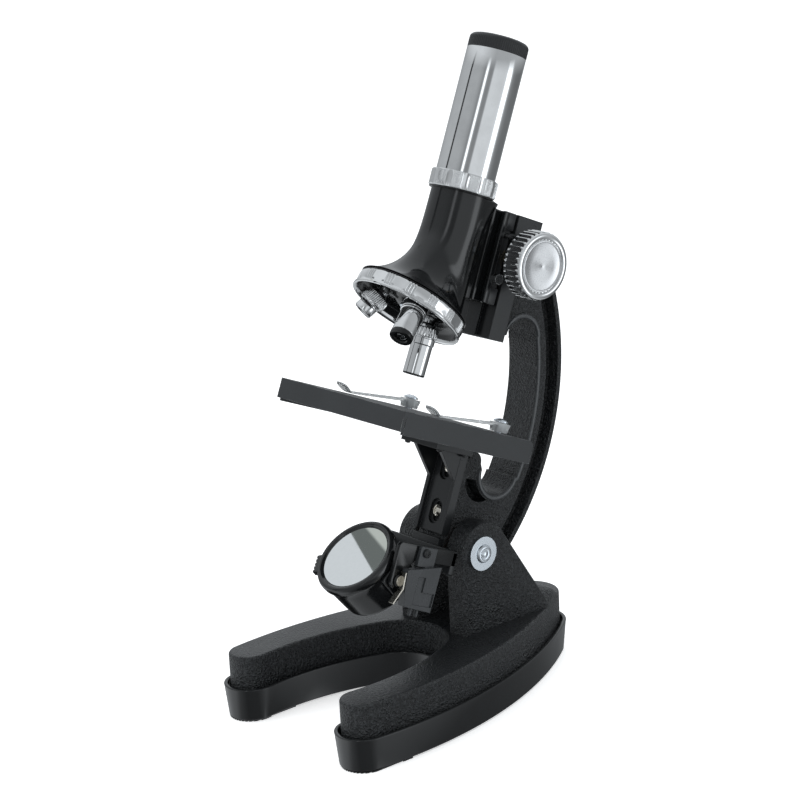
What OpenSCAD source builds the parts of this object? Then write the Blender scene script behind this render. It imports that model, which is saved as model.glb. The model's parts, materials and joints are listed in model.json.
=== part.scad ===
// Student microscope: horseshoe base, tilting arm, rack focus, three-objective turret
// and a flip-over mirror and lamp drum under the stage.
// X is left and right, -Y is the open front of the horseshoe, +Z is up.
// Origin: on the foot plane, straight below the tilt pivot.

/* [Base] */
// Height of the tilt pivot above the foot plane
pivot_z = 61.3; // [60:0.1:63]
// Radius of the two long curved sides of the base
side_r = 200; // [196:1:204]
// Height of the plastic tray's rim
tray_z = 14.5; // [13:0.1:16]
// Height of the flat top of the base casting
deck_z = 27.7; // [27:0.1:29]
// How far the casting is set in from the tray's outer wall
deck_inset = 2.75; // [2.5:0.05:3]
// Outer face of each cheek, from the middle
cheek_x = 19.9; // [19:0.1:21]
// Inner face of each cheek, from the middle
cheek_in = 10; // [9.9:0.05:10.4]

/* [Arm] */
// Lean of the arm at rest, back from upright
arm_lean = 22.68; // [15:0.01:30]
// Full width of the arm casting
arm_w = 16.5; // [15:0.1:16.6]
// Radius of the arm's outer curve
arm_ro = 113; // [112:0.5:114]
// Radius of the arm's inner curve
arm_ri = 98.5; // [98:0.1:99]

/* [Focus] */
// Radius of the pinion's pitch circle, which sets the travel for each turn
pitch_r = 4.5; // [4.4:0.01:4.6]
// Radius of a focus knob over its flutes
knob_r = 14; // [13:0.1:15]
// Outer face of each focus knob, from the middle
knob_face = 29; // [28:0.1:31]

/* [Tube] */
// Distance of the optical axis in front of the tilt pivot
optic_y = 42.46; // [42.4:0.01:42.5]
// Outer radius of the tube housing's neck
neck_r = 12; // [11.8:0.1:12.1]
// Radius of the coin-edged ring
coin_r = 13.8; // [13.5:0.1:14.2]
// Height of the eyepiece's top above the pivot, along the arm
eye_top = 203; // [201:0.5:206]

/* [Turret] */
// Slant of the turret from square to the optical axis
turret_tilt = 20.5; // [20:0.1:21]
// Splay of each objective from the turret's axis
splay = 18.5; // [17:0.1:20.5]
// Radius of the turret's chrome ring
turret_r = 24; // [23.5:0.1:24.4]
// Reach of the long, medium and short objectives
reach = [21.3, 18.5, 10.1]; // [8:0.1:22]

/* [Stage] */
// Width of the stage, the length of a standard glass slide
stage_w = 76; // [74:0.5:78]
// Height of the stage's top above the pivot, along the arm
stage_top = 49.6; // [49.5:0.05:49.7]

/* [Illuminator] */
// Radius of the drum's rim
drum_r = 17.87; // [17.5:0.01:18]
// Radius of the mirror
mirror_r = 14.6; // [13.5:0.1:14.7]
// Forward tip of the drum at rest, from facing along the arm
drum_tip = 59.5; // [40:0.5:70]

/* [Hidden] */
$fn = 64;
EPS = 0.01;

// Base plan: two long side arcs, a round tail and round toes
side_cx = side_r - 47.8;
side_cy = -60;
tail_y = 44.8;
tail_r = 15.2;
toe_x = 36;
toe_y = -80.2;
toe_r = 11.1;
notch_y = -31;
notch_r = 18.6;
inner_r = 104.3;
inner_cx = inner_r - 25.8;
inner_cy = -66;
foot_t = 0.6;
pad_inset = 1.8;
tray_floor = 2.6;
tray_wall = 1.5;
deck_wall = 2;
deck_roof = 2.4;
screw_at = [[36.5, -58], [-36.5, -58], [31, -6], [-31, -6], [0, 38]];
door_y = [2.4, 24.5];
door_x = 24.6;

// Tilt pivot
pin_r = 3;
running_gap = 0.05;
washer_r = 7.16;
cheek_top_r = 12.4;
cheek_top_y = 1.5;
hub_r = 11;

// Arm curves are all struck from one centre
arc_y = -77.5;
arc_z = 48;
arm_front = -9.9;
block_back = -8.9;
block_front = -17.6;
block_x = 10.5;
block_z = [85.4, 137];
ear_back = -3.72;
ear_z = 122;
low_hole = [9.2, 32.8, 9.4];
top_hole = [3, 88.7, 8.8];

// Focus drive
pinion_y = -15.74;
pinion_z = 118.48;
teeth = 16;
tooth_pitch = 2 * PI * pitch_r / teeth;
addendum = 0.5;
dedendum = 0.75;
shaft_r = 1.8;
bush_r = 2.8;
rail_depth = 1.7;
slide_z = [98.8, 137];
knob_back = 19.6;
knob_lip_r = 11.2;
gib_screws_z = [127.4, 109.6];

// Tube and eyepiece
ring_z = [139.4, 146.5];
tube_r = 12.15;
cap_z = 197;
bore_r = 9.5;

// Turret, measured along its own axis from the ring's lower lip
turret_y = -55.76;
turret_z = 86.58;
bell_u = 7.3;
flare_top = 28;
flare_r = 23;
flare_cr = 33.6;
objective_ring = 13.1;
objective_u = 3;

// Stage and its bracket
stage_y = [-77.7, -5.2];
sheet = 1.5;
flange = 9.24;
clip_at = [27.36, -15.85];
clip_reach = 41;

// Illuminator
drum_y = -42.5;
drum_z = -16.6;
drum_front = 8.8;
drum_back = -11.2;
yoke_x = [18.6, 20.6];
trunnion_r = 2.5;
spring_turns = 3;

// ---------- frames ----------

// The tilting arm's own frame: Z runs up the arm from the pivot
module in_arm() {
    translate([0, 0, pivot_z])
        rotate([-arm_lean, 0, 0])
            children();
}

// The turret's frame: Z runs up its axis, and the lower lip is at zero
module in_turret() {
    in_arm()
        translate([0, turret_y, turret_z])
            rotate([-turret_tilt, 0, 0])
                children();
}

// An objective's frame, with its neck at the top and its lens down -Z
module in_objective(k) {
    in_turret()
        rotate([0, 0, -120 * k])
            translate([0, objective_ring, objective_u])
                rotate([splay, 0, 0])
                    children();
}

// The lamp drum's frame: Z runs out through the mirror, X along the trunnions
module in_drum() {
    in_arm()
        translate([0, drum_y, drum_z])
            rotate([drum_tip, 0, 0])
                children();
}

// Extrudes a side view, drawn as Y and Z, across a width centred on X = 0
module side_view(width) {
    rotate([90, 0, 90])
        linear_extrude(width, center = true)
            children();
}

// A cylinder that lies along X
module x_rod(r, x0, x1, y = 0, z = 0) {
    translate([x0, y, z])
        rotate([0, 90, 0])
            cylinder(r = r, h = x1 - x0);
}

// A cylinder that lies along Y
module y_rod(r, y0, y1, x = 0, z = 0) {
    translate([x, y0, z])
        rotate([-90, 0, 0])
            cylinder(r = r, h = y1 - y0);
}

// A box given by its two opposite corners
module box(lo, hi) {
    translate(lo)
        cube(hi - lo);
}

// Both copies of something that is the same left and right
module both_sides() {
    children();
    mirror([1, 0, 0])
        children();
}

// A cross-head recess, cut down from Z = 0
module cross_recess(size) {
    for (turn = [0, 90])
        rotate([0, 0, turn])
            box([-size, -size * 0.2, -size * 0.5], [size, size * 0.2, 1]);
}

// A pan-head screw: head above Z = 0, shank below
module pan_screw(head_r, head_h, shank_r, length) {
    difference() {
        union() {
            rotate_extrude()
                intersection() {
                    square([head_r, head_h]);
                    translate([0, head_h - head_r * 1.6])
                        circle(r = head_r * 1.6);
                }
            translate([0, 0, -length])
                cylinder(r = shank_r, h = length + EPS);
        }
        translate([0, 0, head_h])
            cross_recess(head_r * 0.55);
    }
}

// ---------- base ----------

// Plan of the base, drawn in by d on every side
module plan_outer(d) {
    intersection_for (side = [-1, 1])
        translate([side * side_cx, side_cy])
            circle(r = side_r - d, $fn = 256);
}

module plan_notch(d) {
    translate([0, notch_y])
        circle(r = notch_r + d);
    intersection() {
        intersection_for (side = [-1, 1])
            translate([side * inner_cx, inner_cy])
                circle(r = inner_r + d, $fn = 256);
        translate([-60, -120])
            square([120, 120 - 24]);
    }
    translate([-toe_x + toe_r - d, -120])
        square([2 * (toe_x - toe_r + d), 120 + toe_y]);
}

module base_plan(d) {
    difference() {
        union() {
            intersection() {
                plan_outer(d);
                translate([-60, toe_y])
                    square([120, 53.4 - toe_y]);
            }
            translate([0, tail_y])
                circle(r = tail_r - d);
            for (side = [-1, 1])
                translate([side * toe_x, toe_y])
                    circle(r = toe_r - d);
        }
        plan_notch(d);
    }
}

module slab(d, z0, z1) {
    translate([0, 0, z0])
        linear_extrude(z1 - z0)
            base_plan(d);
}

module cheek_side() {
    translate([cheek_top_y, pivot_z])
        circle(r = cheek_top_r);
    polygon([
        [cheek_top_y - cheek_top_r, deck_z - 1], [cheek_top_y - cheek_top_r, pivot_z],
        [cheek_top_y, pivot_z], [cheek_top_y + cheek_top_r * 0.8597, pivot_z + cheek_top_r * 0.511],
        [33.5, 32.1], [36.1, deck_z - 1]
    ]);
}

// Smooth back that falls from between the cheeks to the tail
module hump() {
    intersection() {
        side_view(2 * cheek_x)
            intersection() {
                translate([29.5, 8.6])
                    circle(r = 28.6);
                translate([25, deck_z - 3])
                    square([40, 20]);
            }
        translate([0, 20, 37.2 - 28])
            y_rod(28, 0, 50);
        slab(deck_inset, deck_z - 3, 60);
    }
}

module base_casting() {
    color("#2b2d30")
        difference() {
            union() {
                difference() {
                    slab(deck_inset, tray_floor, deck_z);
                    slab(deck_inset + deck_wall, tray_floor - 1, deck_z - deck_roof);
                    // Clears the battery box's end ribs
                    box([-26.4, 2, tray_floor - 1], [26.4, 22, tray_z]);
                }
                for (side = [-1, 1])
                    translate([side * (cheek_x + cheek_in) / 2, 0, 0])
                        side_view(cheek_x - cheek_in)
                            cheek_side();
                hump();
                for (at = screw_at)
                    translate([at.x, at.y, tray_floor + 2])
                        cylinder(r = 3.4, h = deck_z - deck_roof - tray_floor - 1);
            }
            x_rod(pin_r + running_gap, -30, 30, 0, pivot_z);
            for (at = screw_at)
                translate([at.x, at.y, 0])
                    cylinder(r = 1.6, h = 18);
        }
}

module base_tray() {
    color("#17181a")
        difference() {
            union() {
                difference() {
                    slab(0, foot_t, tray_z);
                    slab(tray_wall, tray_floor, tray_z + 1);
                }
                box([-23, 0.4, tray_floor - EPS], [23, 1.4, tray_z - 1]);
                box([-21.5, 24.9, tray_floor - EPS], [21.5, 25.9, tray_z - 1]);
                both_sides()
                    box([25.3, 3.2, tray_floor - EPS], [26.1, 20.6, tray_z - 1]);
            }
            box([-door_x, door_y[0], 0], [door_x, door_y[1], tray_floor + 1]);
            for (at = screw_at)
                translate([at.x, at.y, 0]) {
                    cylinder(r = 1.8, h = tray_floor + 1);
                    cylinder(r = 3.1, h = foot_t + 1.2);
                }
            translate([0, door_y[1] + 5, 0])
                cylinder(r = 1.1, h = tray_floor + 1);
            box([-5.1, door_y[1] - 1, 0], [5.1, door_y[1] + 8.1, foot_t + 1]);
        }
}

module battery_door() {
    color("#1d1e20")
        difference() {
            union() {
                box(
                    [-door_x + 0.15, door_y[0] + 0.15, foot_t + 0.05],
                    [door_x - 0.15, door_y[1] - 0.15, 2.2]
                );
                box([-5, door_y[1] - 1, foot_t + 0.05], [5, door_y[1] + 8, foot_t + 0.95]);
            }
            translate([0, door_y[1] + 5, 0])
                cylinder(r = 1.3, h = 4);
            for (i = [-4:4])
                translate([i * 4, 7, 0])
                    cube([1.2, 10, foot_t + 0.5]);
        }
}

module door_screw() {
    color("#b9bcc0")
        translate([0, door_y[1] + 5, foot_t - 0.02])
            mirror([0, 0, 1])
                translate([0, 0, -0.06])
                    pan_screw(2.2, 0.55, 1, 3.5);
}

module cell(y) {
    translate([0, y, 8.3]) {
        x_rod(5.2, -19.6, 23.7);
        x_rod(1.9, 23.6, 24.75);
    }
}

module battery_front() {
    color("#6f7a35")
        cell(7.7);
}

module battery_rear() {
    color("#6f7a35")
        mirror([1, 0, 0])
            cell(18.7);
}

// A point on the middle of a cell's spring, which narrows as it runs out along X
function spring_point(t, r, length) =
    let (a = spring_turns * 360 * t, wide = r * (1 - 0.45 * t))
    [length * t, wide * cos(a), wide * sin(a)];

module coil_spring(r, wire, length) {
    steps = 48;
    sides = 6;
    points = [
        for (i = [0:steps], j = [0:sides - 1])
            let (
                t = i / steps,
                p = spring_point(t, r, length),
                a = spring_turns * 360 * t,
                w = wire * cos(360 * j / sides)
            )
            [p.x + wire * sin(360 * j / sides), p.y + w * cos(a), p.z + w * sin(a)]
    ];
    faces = [
        for (i = [0:steps - 1], j = [0:sides - 1])
            let (k = (j + 1) % sides)
            [i * sides + j, i * sides + k, (i + 1) * sides + k, (i + 1) * sides + j],
        [for (j = [sides - 1:-1:0]) j],
        [for (j = [0:sides - 1]) steps * sides + j]
    ];
    polyhedron(points, faces, convexity = 6);
}

module battery_springs() {
    color("#c9ccd0") {
        translate([-24.5, 7.7, 8.3])
            coil_spring(3.6, 0.3, 4.5);
        translate([24.5, 18.7, 8.3])
            mirror([1, 0, 0])
                coil_spring(3.6, 0.3, 4.5);
    }
}

module battery_contacts() {
    color("#c9ccd0") {
        box([-25.25, 3.6, 4.5], [-24.85, 11, 13]);
        box([24.85, 15.2, 4.5], [25.25, 20.5, 13]);
        box([24.85, 3.6, 4.5], [25.25, 11, 13]);
        box([-25.25, 15.2, 4.5], [-24.85, 20.5, 13]);
    }
}

module foot_pads() {
    color("#0f0f10") {
        difference() {
            intersection() {
                slab(pad_inset, 0, foot_t);
                box([-60, -100, -1], [60, -64, 2]);
            }
            for (i = [-36:36])
                translate([i * 1.3 - 0.3, -100, -1])
                    cube([0.6, 40, 1.4]);
        }
        box([-16, -9.5, 0], [16, 1.8, foot_t]);
        translate([0, 49, 0])
            cylinder(r = 6, h = foot_t);
    }
}

module base_screws() {
    color("#b9bcc0")
        for (at = screw_at)
            translate([at.x, at.y, foot_t + 1.15])
                mirror([0, 0, 1])
                    translate([0, 0, -0.04])
                        pan_screw(2.9, 1, 1.55, 12);
}

module pivot_bolt() {
    color("#c4c7cb")
        translate([0, 0, pivot_z]) {
            x_rod(pin_r, -21, 21);
            both_sides()
                translate([21, 0, 0])
                    rotate([0, 90, 0])
                        rotate_extrude()
                            intersection() {
                                square([3.4, 1.5]);
                                translate([0, -3.4])
                                    circle(r = 4.9);
                            }
        }
}

module pivot_washers() {
    color("#c9ccd0")
        translate([0, 0, pivot_z])
            both_sides()
                difference() {
                    x_rod(washer_r, cheek_x + 0.02, cheek_x + 1.05);
                    x_rod(pin_r + running_gap, cheek_x - 1, cheek_x + 2);
                }
}

// ---------- arm ----------

module arm_disc(r) {
    translate([arc_y, arc_z])
        circle(r = r, $fn = 256);
}

// Clear opening behind the stage and the objectives
module arm_opening() {
    translate([low_hole[0], low_hole[1]])
        circle(r = low_hole[2]);
    translate([top_hole[0], top_hole[1]])
        circle(r = top_hole[2]);
    intersection() {
        arm_disc(arm_ri);
        translate([-60, low_hole[1]])
            square([100, top_hole[1] - low_hole[1]]);
    }
}

module arm_side() {
    difference() {
        union() {
            intersection() {
                arm_disc(arm_ro);
                translate([block_back, 0])
                    square([60, 137]);
            }
            translate([arm_front, 0])
                square([12, 36]);
            circle(r = hub_r);
            polygon([
                [arm_front, 6], [arm_front, 0], [-6, -9], [7.4, -8.2], [24.8, 0], [24.8, 6]
            ]);
        }
        difference() {
            arm_opening();
            // Rounded lobe under the stage
            translate([-6.1, 35])
                circle(r = 4.4);
            polygon([
                [arm_front, 0], [low_hole[0] - low_hole[2], 0],
                [low_hole[0] - low_hole[2], low_hole[1]], [-1.72, 35.2], [arm_front, 35.2]
            ]);
        }
        translate([-60, 37])
            square([60 + arm_front + 1, 48.4]);
        translate([-60, 85.4])
            square([60 + block_back, 60]);
    }
}

module arm_casting() {
    color("#303236")
        in_arm()
            difference() {
                side_view(arm_w)
                    arm_side();
                both_sides() {
                    // Deep channel along the outer curve
                    translate([2.6 + 5, 0, 0])
                        side_view(10)
                            intersection() {
                                difference() {
                                    arm_disc(arm_ro - 2);
                                    arm_disc(104);
                                }
                                translate([-20, 6])
                                    square([80, 121]);
                            }
                    // Crescent pocket in the lobe
                    translate([2 + 5, 0, 0])
                        side_view(10)
                            difference() {
                                translate([1.3, 29])
                                    circle(r = 9.7);
                                translate([low_hole[0], low_hole[1]])
                                    circle(r = 12);
                                translate([-12, 28])
                                    square([30, 20]);
                                translate([-20, 0])
                                    square([20 + arm_front + 2, 40]);
                            }
                }
                x_rod(pin_r + running_gap, -20, 20);
                for (z = [104, 128]) {
                    y_rod(1.6, block_back - 1, 30, 0, z);
                    y_rod(2.35, -2, 40, 0, z);
                }
                for (z = [12.2, 31])
                    y_rod(1.55, arm_front - 1, arm_front + 8, 0, z);
                for (z = [-5.5, -9])
                    y_rod(1.05, arm_front - 2, arm_front + 9, 0, z);
            }
}

module friction_washers() {
    color("#8a5a35")
        in_arm()
            both_sides()
                difference() {
                    x_rod(8, arm_w / 2 + 0.05, cheek_in - 0.05);
                    x_rod(pin_r + running_gap, 0, 20);
                }
}

// Dovetail rail's plan; grow widens and deepens it to cut the matching groove
module rail_plan(grow) {
    polygon([
        [-2.9 - grow, block_front + EPS], [2.9 + grow, block_front + EPS],
        [3.8 + grow, block_front - rail_depth - grow], [-3.8 - grow, block_front - rail_depth - grow]
    ]);
}

module focus_block() {
    color("#1a1b1e")
        in_arm()
            difference() {
                union() {
                    box([-block_x, block_front, block_z[0]], [block_x, block_back, block_z[1]]);
                    // Ears that lap the arm's head
                    both_sides()
                        box([arm_w / 2 + 0.05, block_front, ear_z], [block_x, ear_back, block_z[1]]);
                    translate([0, 0, block_z[0] + 0.6])
                        linear_extrude(block_z[1] - block_z[0] - 1.6)
                            rail_plan(0);
                }
                x_rod(5.7, -2.6, 2.6, pinion_y, pinion_z);
                x_rod(shaft_r + 0.3, -20, 20, pinion_y, pinion_z);
                both_sides()
                    x_rod(bush_r + 0.02, 6.5, 20, pinion_y, pinion_z);
                for (z = [104, 128])
                    y_rod(1.5, -14.5, 0, 0, z);
            }
}

module block_screws() {
    color("#b9bcc0")
        in_arm()
            for (z = [104, 128])
                translate([0, -1.98, z])
                    rotate([-90, 0, 0])
                        pan_screw(2.2, 1.6, 1.45, 12);
}

module pinion_bushes() {
    color("#b08d4a")
        in_arm()
            both_sides()
                difference() {
                    union() {
                        x_rod(bush_r, 6.52, 10.6, pinion_y, pinion_z);
                        x_rod(bush_r + 0.8, block_x + 0.02, 11.3, pinion_y, pinion_z);
                    }
                    x_rod(shaft_r + running_gap, 0, 20, pinion_y, pinion_z);
                }
}

// ---------- stage ----------

module stadium(r, z0, z1) {
    translate([0, z0 + r])
        circle(r = r);
    translate([0, z1 - r])
        circle(r = r);
    translate([-r, z0 + r])
        square([2 * r, z1 - z0 - 2 * r]);
}

// A stadium slot cut along Y
module y_slot(r, z0, z1, y0, y1) {
    translate([0, y1, 0])
        rotate([90, 0, 0])
            linear_extrude(y1 - y0)
                stadium(r, z0, z1);
}

module stage_bracket() {
    top = stage_top - sheet - 0.02;
    color("#1c1d20")
        in_arm()
            difference() {
                union() {
                    box([-8.5, -12.4, 3.3], [8.5, arm_front - 0.02, 38]);
                    both_sides() {
                        box([6.7, -14, 3.3], [8.5, -12, 38]);
                        translate([7.5, 0, 0])
                            side_view(1.7)
                                polygon([[-12, 23.5], [-27.5, 38.5], [-12, 38.5]]);
                    }
                    box([-10.8, -31, 37.1], [10.8, arm_front - 0.02, top]);
                }
                box([-8.8, -29, 40], [8.8, -12.4, top + 1]);
                // Seats on the round hub
                x_rod(hub_r + 0.1, -9, 9);
                y_slot(3.2, 6.5, 17.1, -20, -11.2);
                y_slot(1.75, 7.6, 16, -20, 0);
                y_slot(3.2, 25.2, 34.6, -20, -11.2);
                y_slot(1.75, 26.3, 33.5, -20, 0);
                for (x = [-9.8, 9.8], y = [-28, -14])
                    translate([x, y, 30])
                        cylinder(r = 0.8, h = 30);
            }
}

module bracket_screws() {
    color("#b7a77c")
        in_arm()
            for (z = [12.2, 31])
                translate([0, -11.22, z])
                    rotate([90, 0, 0])
                        pan_screw(2.5, 1.5, 1.5, 8.5);
}

module stage_plate() {
    z0 = stage_top - flange;
    half = stage_w / 2;
    color("#3c4045")
        in_arm()
            difference() {
                intersection() {
                    box([-half, stage_y[0], z0], [half, stage_y[1], stage_top]);
                    // Rolled rear corners
                    side_view(stage_w + 2) {
                        translate([stage_y[0], z0])
                            square([stage_y[1] - stage_y[0] - 3, flange]);
                        translate([stage_y[0], z0])
                            square([stage_y[1] - stage_y[0], flange - 3]);
                        translate([stage_y[1] - 3, stage_top - 3])
                            circle(r = 3);
                    }
                }
                box(
                    [-half + sheet, stage_y[0] + sheet, z0 - 1],
                    [half - sheet, stage_y[1] + 5, stage_top - sheet]
                );
                // Slits where the front and side flanges meet
                both_sides()
                    box(
                        [half - sheet - 0.1, stage_y[0] + sheet, z0 - 1],
                        [half + 1, stage_y[0] + sheet + 0.3, stage_top - 2.4]
                    );
                // The front flange is the shallower one
                box([-half - 1, stage_y[0] - 1, z0 - 1], [half + 1, stage_y[0] + sheet + 0.1, z0 + 1.1]);
                translate([0, -optic_y, z0])
                    cylinder(r = 5, h = 20);
                both_sides()
                    translate([clip_at.x, clip_at.y, z0])
                        cylinder(r = 1.5 + running_gap, h = 20);
                for (x = [-9.8, 9.8], y = [-28, -14])
                    translate([x, y, stage_top - 5])
                        cylinder(r = 0.75, h = 4.4);
            }
}

module stage_screws() {
    color("#b9bcc0")
        in_arm()
            for (x = [-9.8, 9.8], y = [-28, -14])
                translate([x, y, 37.08])
                    mirror([0, 0, 1])
                        pan_screw(1.2, 1, 0.7, 11.5);
}

module clip_screws() {
    color("#c4c7cb")
        in_arm()
            both_sides()
                translate([clip_at.x, clip_at.y, 0]) {
                    translate([0, 0, stage_top + 4.3])
                        pan_screw(3, 1.6, 1.5, 8.5);
                    difference() {
                        translate([0, 0, stage_top - sheet - 2.2])
                            cylinder(r = 2.9, h = 2.15, $fn = 6);
                        translate([0, 0, stage_top - sheet - 4])
                            cylinder(r = 1.52, h = 5);
                    }
                }
}

// A slide clip: a post, a tapered arm and an upturned tip, which points along -Y
module slide_clip() {
    in_arm()
        translate([clip_at.x, clip_at.y, stage_top])
            difference() {
                union() {
                    translate([0, 0, 0.3])
                        cylinder(r1 = 3.6, r2 = 4.4, h = 3.8);
                    intersection() {
                        side_view(12)
                            polygon([
                                [0, 3.9], [0, 2.5], [-14, 1.7], [-34, 0.3], [-36.5, 0.3],
                                [-clip_reach, 3.3], [-clip_reach, 4.2], [-36.5, 1.3], [-34, 1.3], [-14, 3]
                            ]);
                        linear_extrude(10)
                            polygon([
                                [-3.2, 0.5], [3.2, 0.5], [1.9, -30], [2.9, -37],
                                [2.2, -42], [-2.2, -42], [-2.9, -37], [-1.9, -30]
                            ]);
                    }
                }
                translate([0, 0, -1])
                    cylinder(r = 1.5 + running_gap, h = 8);
            }
}

module clip_right() {
    color("#d9dee2", 0.6)
        slide_clip();
}

module clip_left() {
    color("#d9dee2", 0.6)
        mirror([1, 0, 0])
            slide_clip();
}

// ---------- illuminator ----------

module left_arm_side() {
    polygon([
        [-14, -3], [-24, -4.4], [-44.6, -13.2], [-46.3, -15.5], [-38.6, -15.5], [-30, -9.6], [-14, -9.6]
    ]);
    translate([drum_y, drum_z])
        circle(r = 4);
}

module right_arm_side() {
    polygon([
        [-14, -1.3], [-45.5, -1.3], [-46.5, -3], [-46.5, drum_z],
        [-38.5, drum_z], [-38.5, -10.2], [-36, -7.6], [-14, -7.6]
    ]);
    translate([drum_y, drum_z])
        circle(r = 4);
}

module lamp_yoke() {
    middle = (yoke_x[0] + yoke_x[1]) / 2;
    color("#131416")
        in_arm()
            difference() {
                union() {
                    translate([middle, 0, 0])
                        side_view(yoke_x[1] - yoke_x[0])
                            right_arm_side();
                    translate([-middle, 0, 0])
                        side_view(yoke_x[1] - yoke_x[0])
                            left_arm_side();
                    box([-yoke_x[1], -16.5, -11.4], [yoke_x[1], -14, -1.3]);
                    box([-7.8, -14.5, -11.4], [7.8, arm_front - 1.1, 1.6]);
                }
                x_rod(trunnion_r + running_gap, -30, 30, drum_y, drum_z);
                for (z = [-5.5, -9])
                    y_rod(1.2, -20, 0, 0, z);
                x_rod(1, 10, 30, -32.7, -4);
                // Seats on the round hub
                x_rod(hub_r + 0.1, -9, 9);
            }
}

module yoke_screws() {
    color("#b9bcc0")
        in_arm() {
            for (z = [-5.5, -9])
                translate([0, -16.52, z])
                    rotate([90, 0, 0])
                        pan_screw(1.6, 1.1, 1, 11);
            translate([22.22, -32.7, -4])
                rotate([0, 90, 0])
                    pan_screw(1.8, 1.3, 0.95, 3.2);
        }
}

module contact_block() {
    color("#2f2c35")
        in_arm()
            difference() {
                union() {
                    translate([22.45, 0, 0])
                        side_view(3.5)
                            polygon([
                                [-42.1, -11.6], [-24.3, -8.3], [-24.6, -27.1],
                                [-39.6, -26.2], [-41.3, -19]
                            ]);
                    box([20.62, -36, -9.6], [22.2, -27, -1.6]);
                    for (y = [-34, -30.5])
                        translate([22.4, y, -29.6])
                            cylinder(r = 0.8, h = 4);
                }
                // Recessed steps of the moulded L
                box([23.6, -35.5, -25], [25, -25, -19.5]);
                box([23.6, -35.5, -20], [25, -31.5, -13.5]);
                x_rod(1, 19, 30, -32.7, -4);
                // Clears the end of the drum's pin
                x_rod(3.2, 19, 22.4, drum_y, drum_z);
            }
}

module contact_leaf() {
    color("#b08d4a")
        in_arm()
            difference() {
                translate([22.6, 0, 0])
                    side_view(2.8)
                        polygon([
                            [-42.3, -12.8], [-42.8, -12.8], [-42.4, -19.4],
                            [-45.6, -25.6], [-45.2, -25.9], [-41.7, -19.3]
                        ]);
                x_rod(3.2, 19, 22, drum_y, drum_z);
            }
}

module drum_shell() {
    color("#101113")
        in_drum()
            difference() {
                union() {
                    rotate_extrude()
                        polygon([
                            [0, drum_back], [15.8, drum_back], [17, drum_front - 4.5],
                            [drum_r, drum_front - 4], [drum_r, drum_front - 0.8],
                            [drum_r - 0.8, drum_front], [0, drum_front]
                        ]);
                    both_sides() {
                        x_rod(3.4, 15, yoke_x[0] - 0.2);
                        x_rod(trunnion_r, 15, 21.2);
                    }
                    // Thumb tab
                    rotate([0, 0, 206.6])
                        difference() {
                            box([drum_r - 2, -4.4, drum_front - 3.7], [drum_r + 1.9, 4.4, drum_front - 1]);
                            for (i = [-2:2])
                                translate([drum_r + 1.4, i * 1.8 - 0.4, 0])
                                    cube([3, 0.8, 10]);
                        }
                }
                translate([0, 0, drum_front - 1])
                    cylinder(r1 = mirror_r, r2 = mirror_r + 1.2, h = 1.01);
                translate([0, 0, drum_front - 2.6])
                    cylinder(r = mirror_r + 0.15, h = 2);
                translate([0, 0, drum_back + 2.6])
                    cylinder(r = 13.4, h = drum_front - 2.6 - drum_back - 3.6);
                translate([0, 0, drum_back + 1])
                    cylinder(r = 12.05, h = 10);
                translate([0, 0, drum_back - 1])
                    cylinder(r = 11, h = 10);
                translate([0, 0, drum_front - 3.7])
                    cylinder(r = 12.5, h = 3);
            }
}

module drum_mirror() {
    color("#c8d0cf")
        in_drum()
            translate([0, 0, drum_front - 2.55])
                cylinder(r = mirror_r, h = 1.55);
}

module drum_window() {
    color("#e8ecef", 0.5)
        in_drum()
            translate([0, 0, drum_back + 1.05])
                cylinder(r = 12, h = 1.5);
}

module lamp_bulb() {
    color("#f2efe2")
        in_drum() {
            translate([0, 0, -4.2])
                sphere(r = 2.4);
            translate([0, 0, -4])
                cylinder(r = 2.2, h = 4.5);
        }
}

module lamp_holder() {
    color("#e6e6e2")
        in_drum()
            difference() {
                cylinder(r = 13.3, h = 1.6);
                translate([0, 0, -1])
                    cylinder(r = 2.25, h = 2.5);
            }
}

module drum_contact() {
    color("#c0a868")
        in_drum()
            x_rod(2.1, 21.22, 21.9);
}

// ---------- focus drive ----------

module pinion_shaft() {
    color("#b9bcc0")
        in_arm()
            x_rod(shaft_r, -25, 25, pinion_y, pinion_z);
}

module pinion_gear() {
    root = pitch_r - dedendum;
    tip = pitch_r + addendum;
    step = 360 / teeth;
    color("#b08d4a")
        in_arm()
            translate([0, pinion_y, pinion_z])
                rotate([90, 0, 90])
                    linear_extrude(4, center = true)
                        difference() {
                            polygon([
                                for (i = [0:teeth - 1], c = [[-0.3, root], [-0.13, tip], [0.13, tip], [0.3, root]])
                                    c[1] * [cos((i + c[0]) * step), sin((i + c[0]) * step)]
                            ]);
                            circle(r = shaft_r + 0.02);
                        }
}

// Fluted knob body on the right-hand end of the shaft
module knob_body() {
    in_arm()
        translate([0, pinion_y, pinion_z])
            difference() {
                union() {
                    x_rod(knob_r - 0.9, knob_back, knob_face - 0.4);
                    x_rod(knob_lip_r + 1.6, knob_face - 1, knob_face);
                    x_rod(6, knob_back - 1.2, knob_back + 1);
                    for (i = [0:35])
                        rotate([10 * i, 0, 0])
                            box([knob_back, knob_r - 1.8, -0.65], [knob_face - 0.7, knob_r, 0.65]);
                }
                x_rod(knob_lip_r, knob_face - 1.4, knob_face + 1);
                x_rod(shaft_r + 0.02, 10, 25.2);
            }
}

module knob_disc() {
    in_arm()
        translate([0, pinion_y, pinion_z])
            x_rod(knob_lip_r - 0.1, knob_face - 1.38, knob_face - 0.35);
}

module knob_right() {
    color("#cfd2d6")
        knob_body();
}

module knob_left() {
    color("#cfd2d6")
        mirror([1, 0, 0])
            knob_body();
}

module knob_disc_right() {
    color("#dcdee0")
        knob_disc();
}

module knob_disc_left() {
    color("#dcdee0")
        mirror([1, 0, 0])
            knob_disc();
}

// ---------- tube ----------

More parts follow.
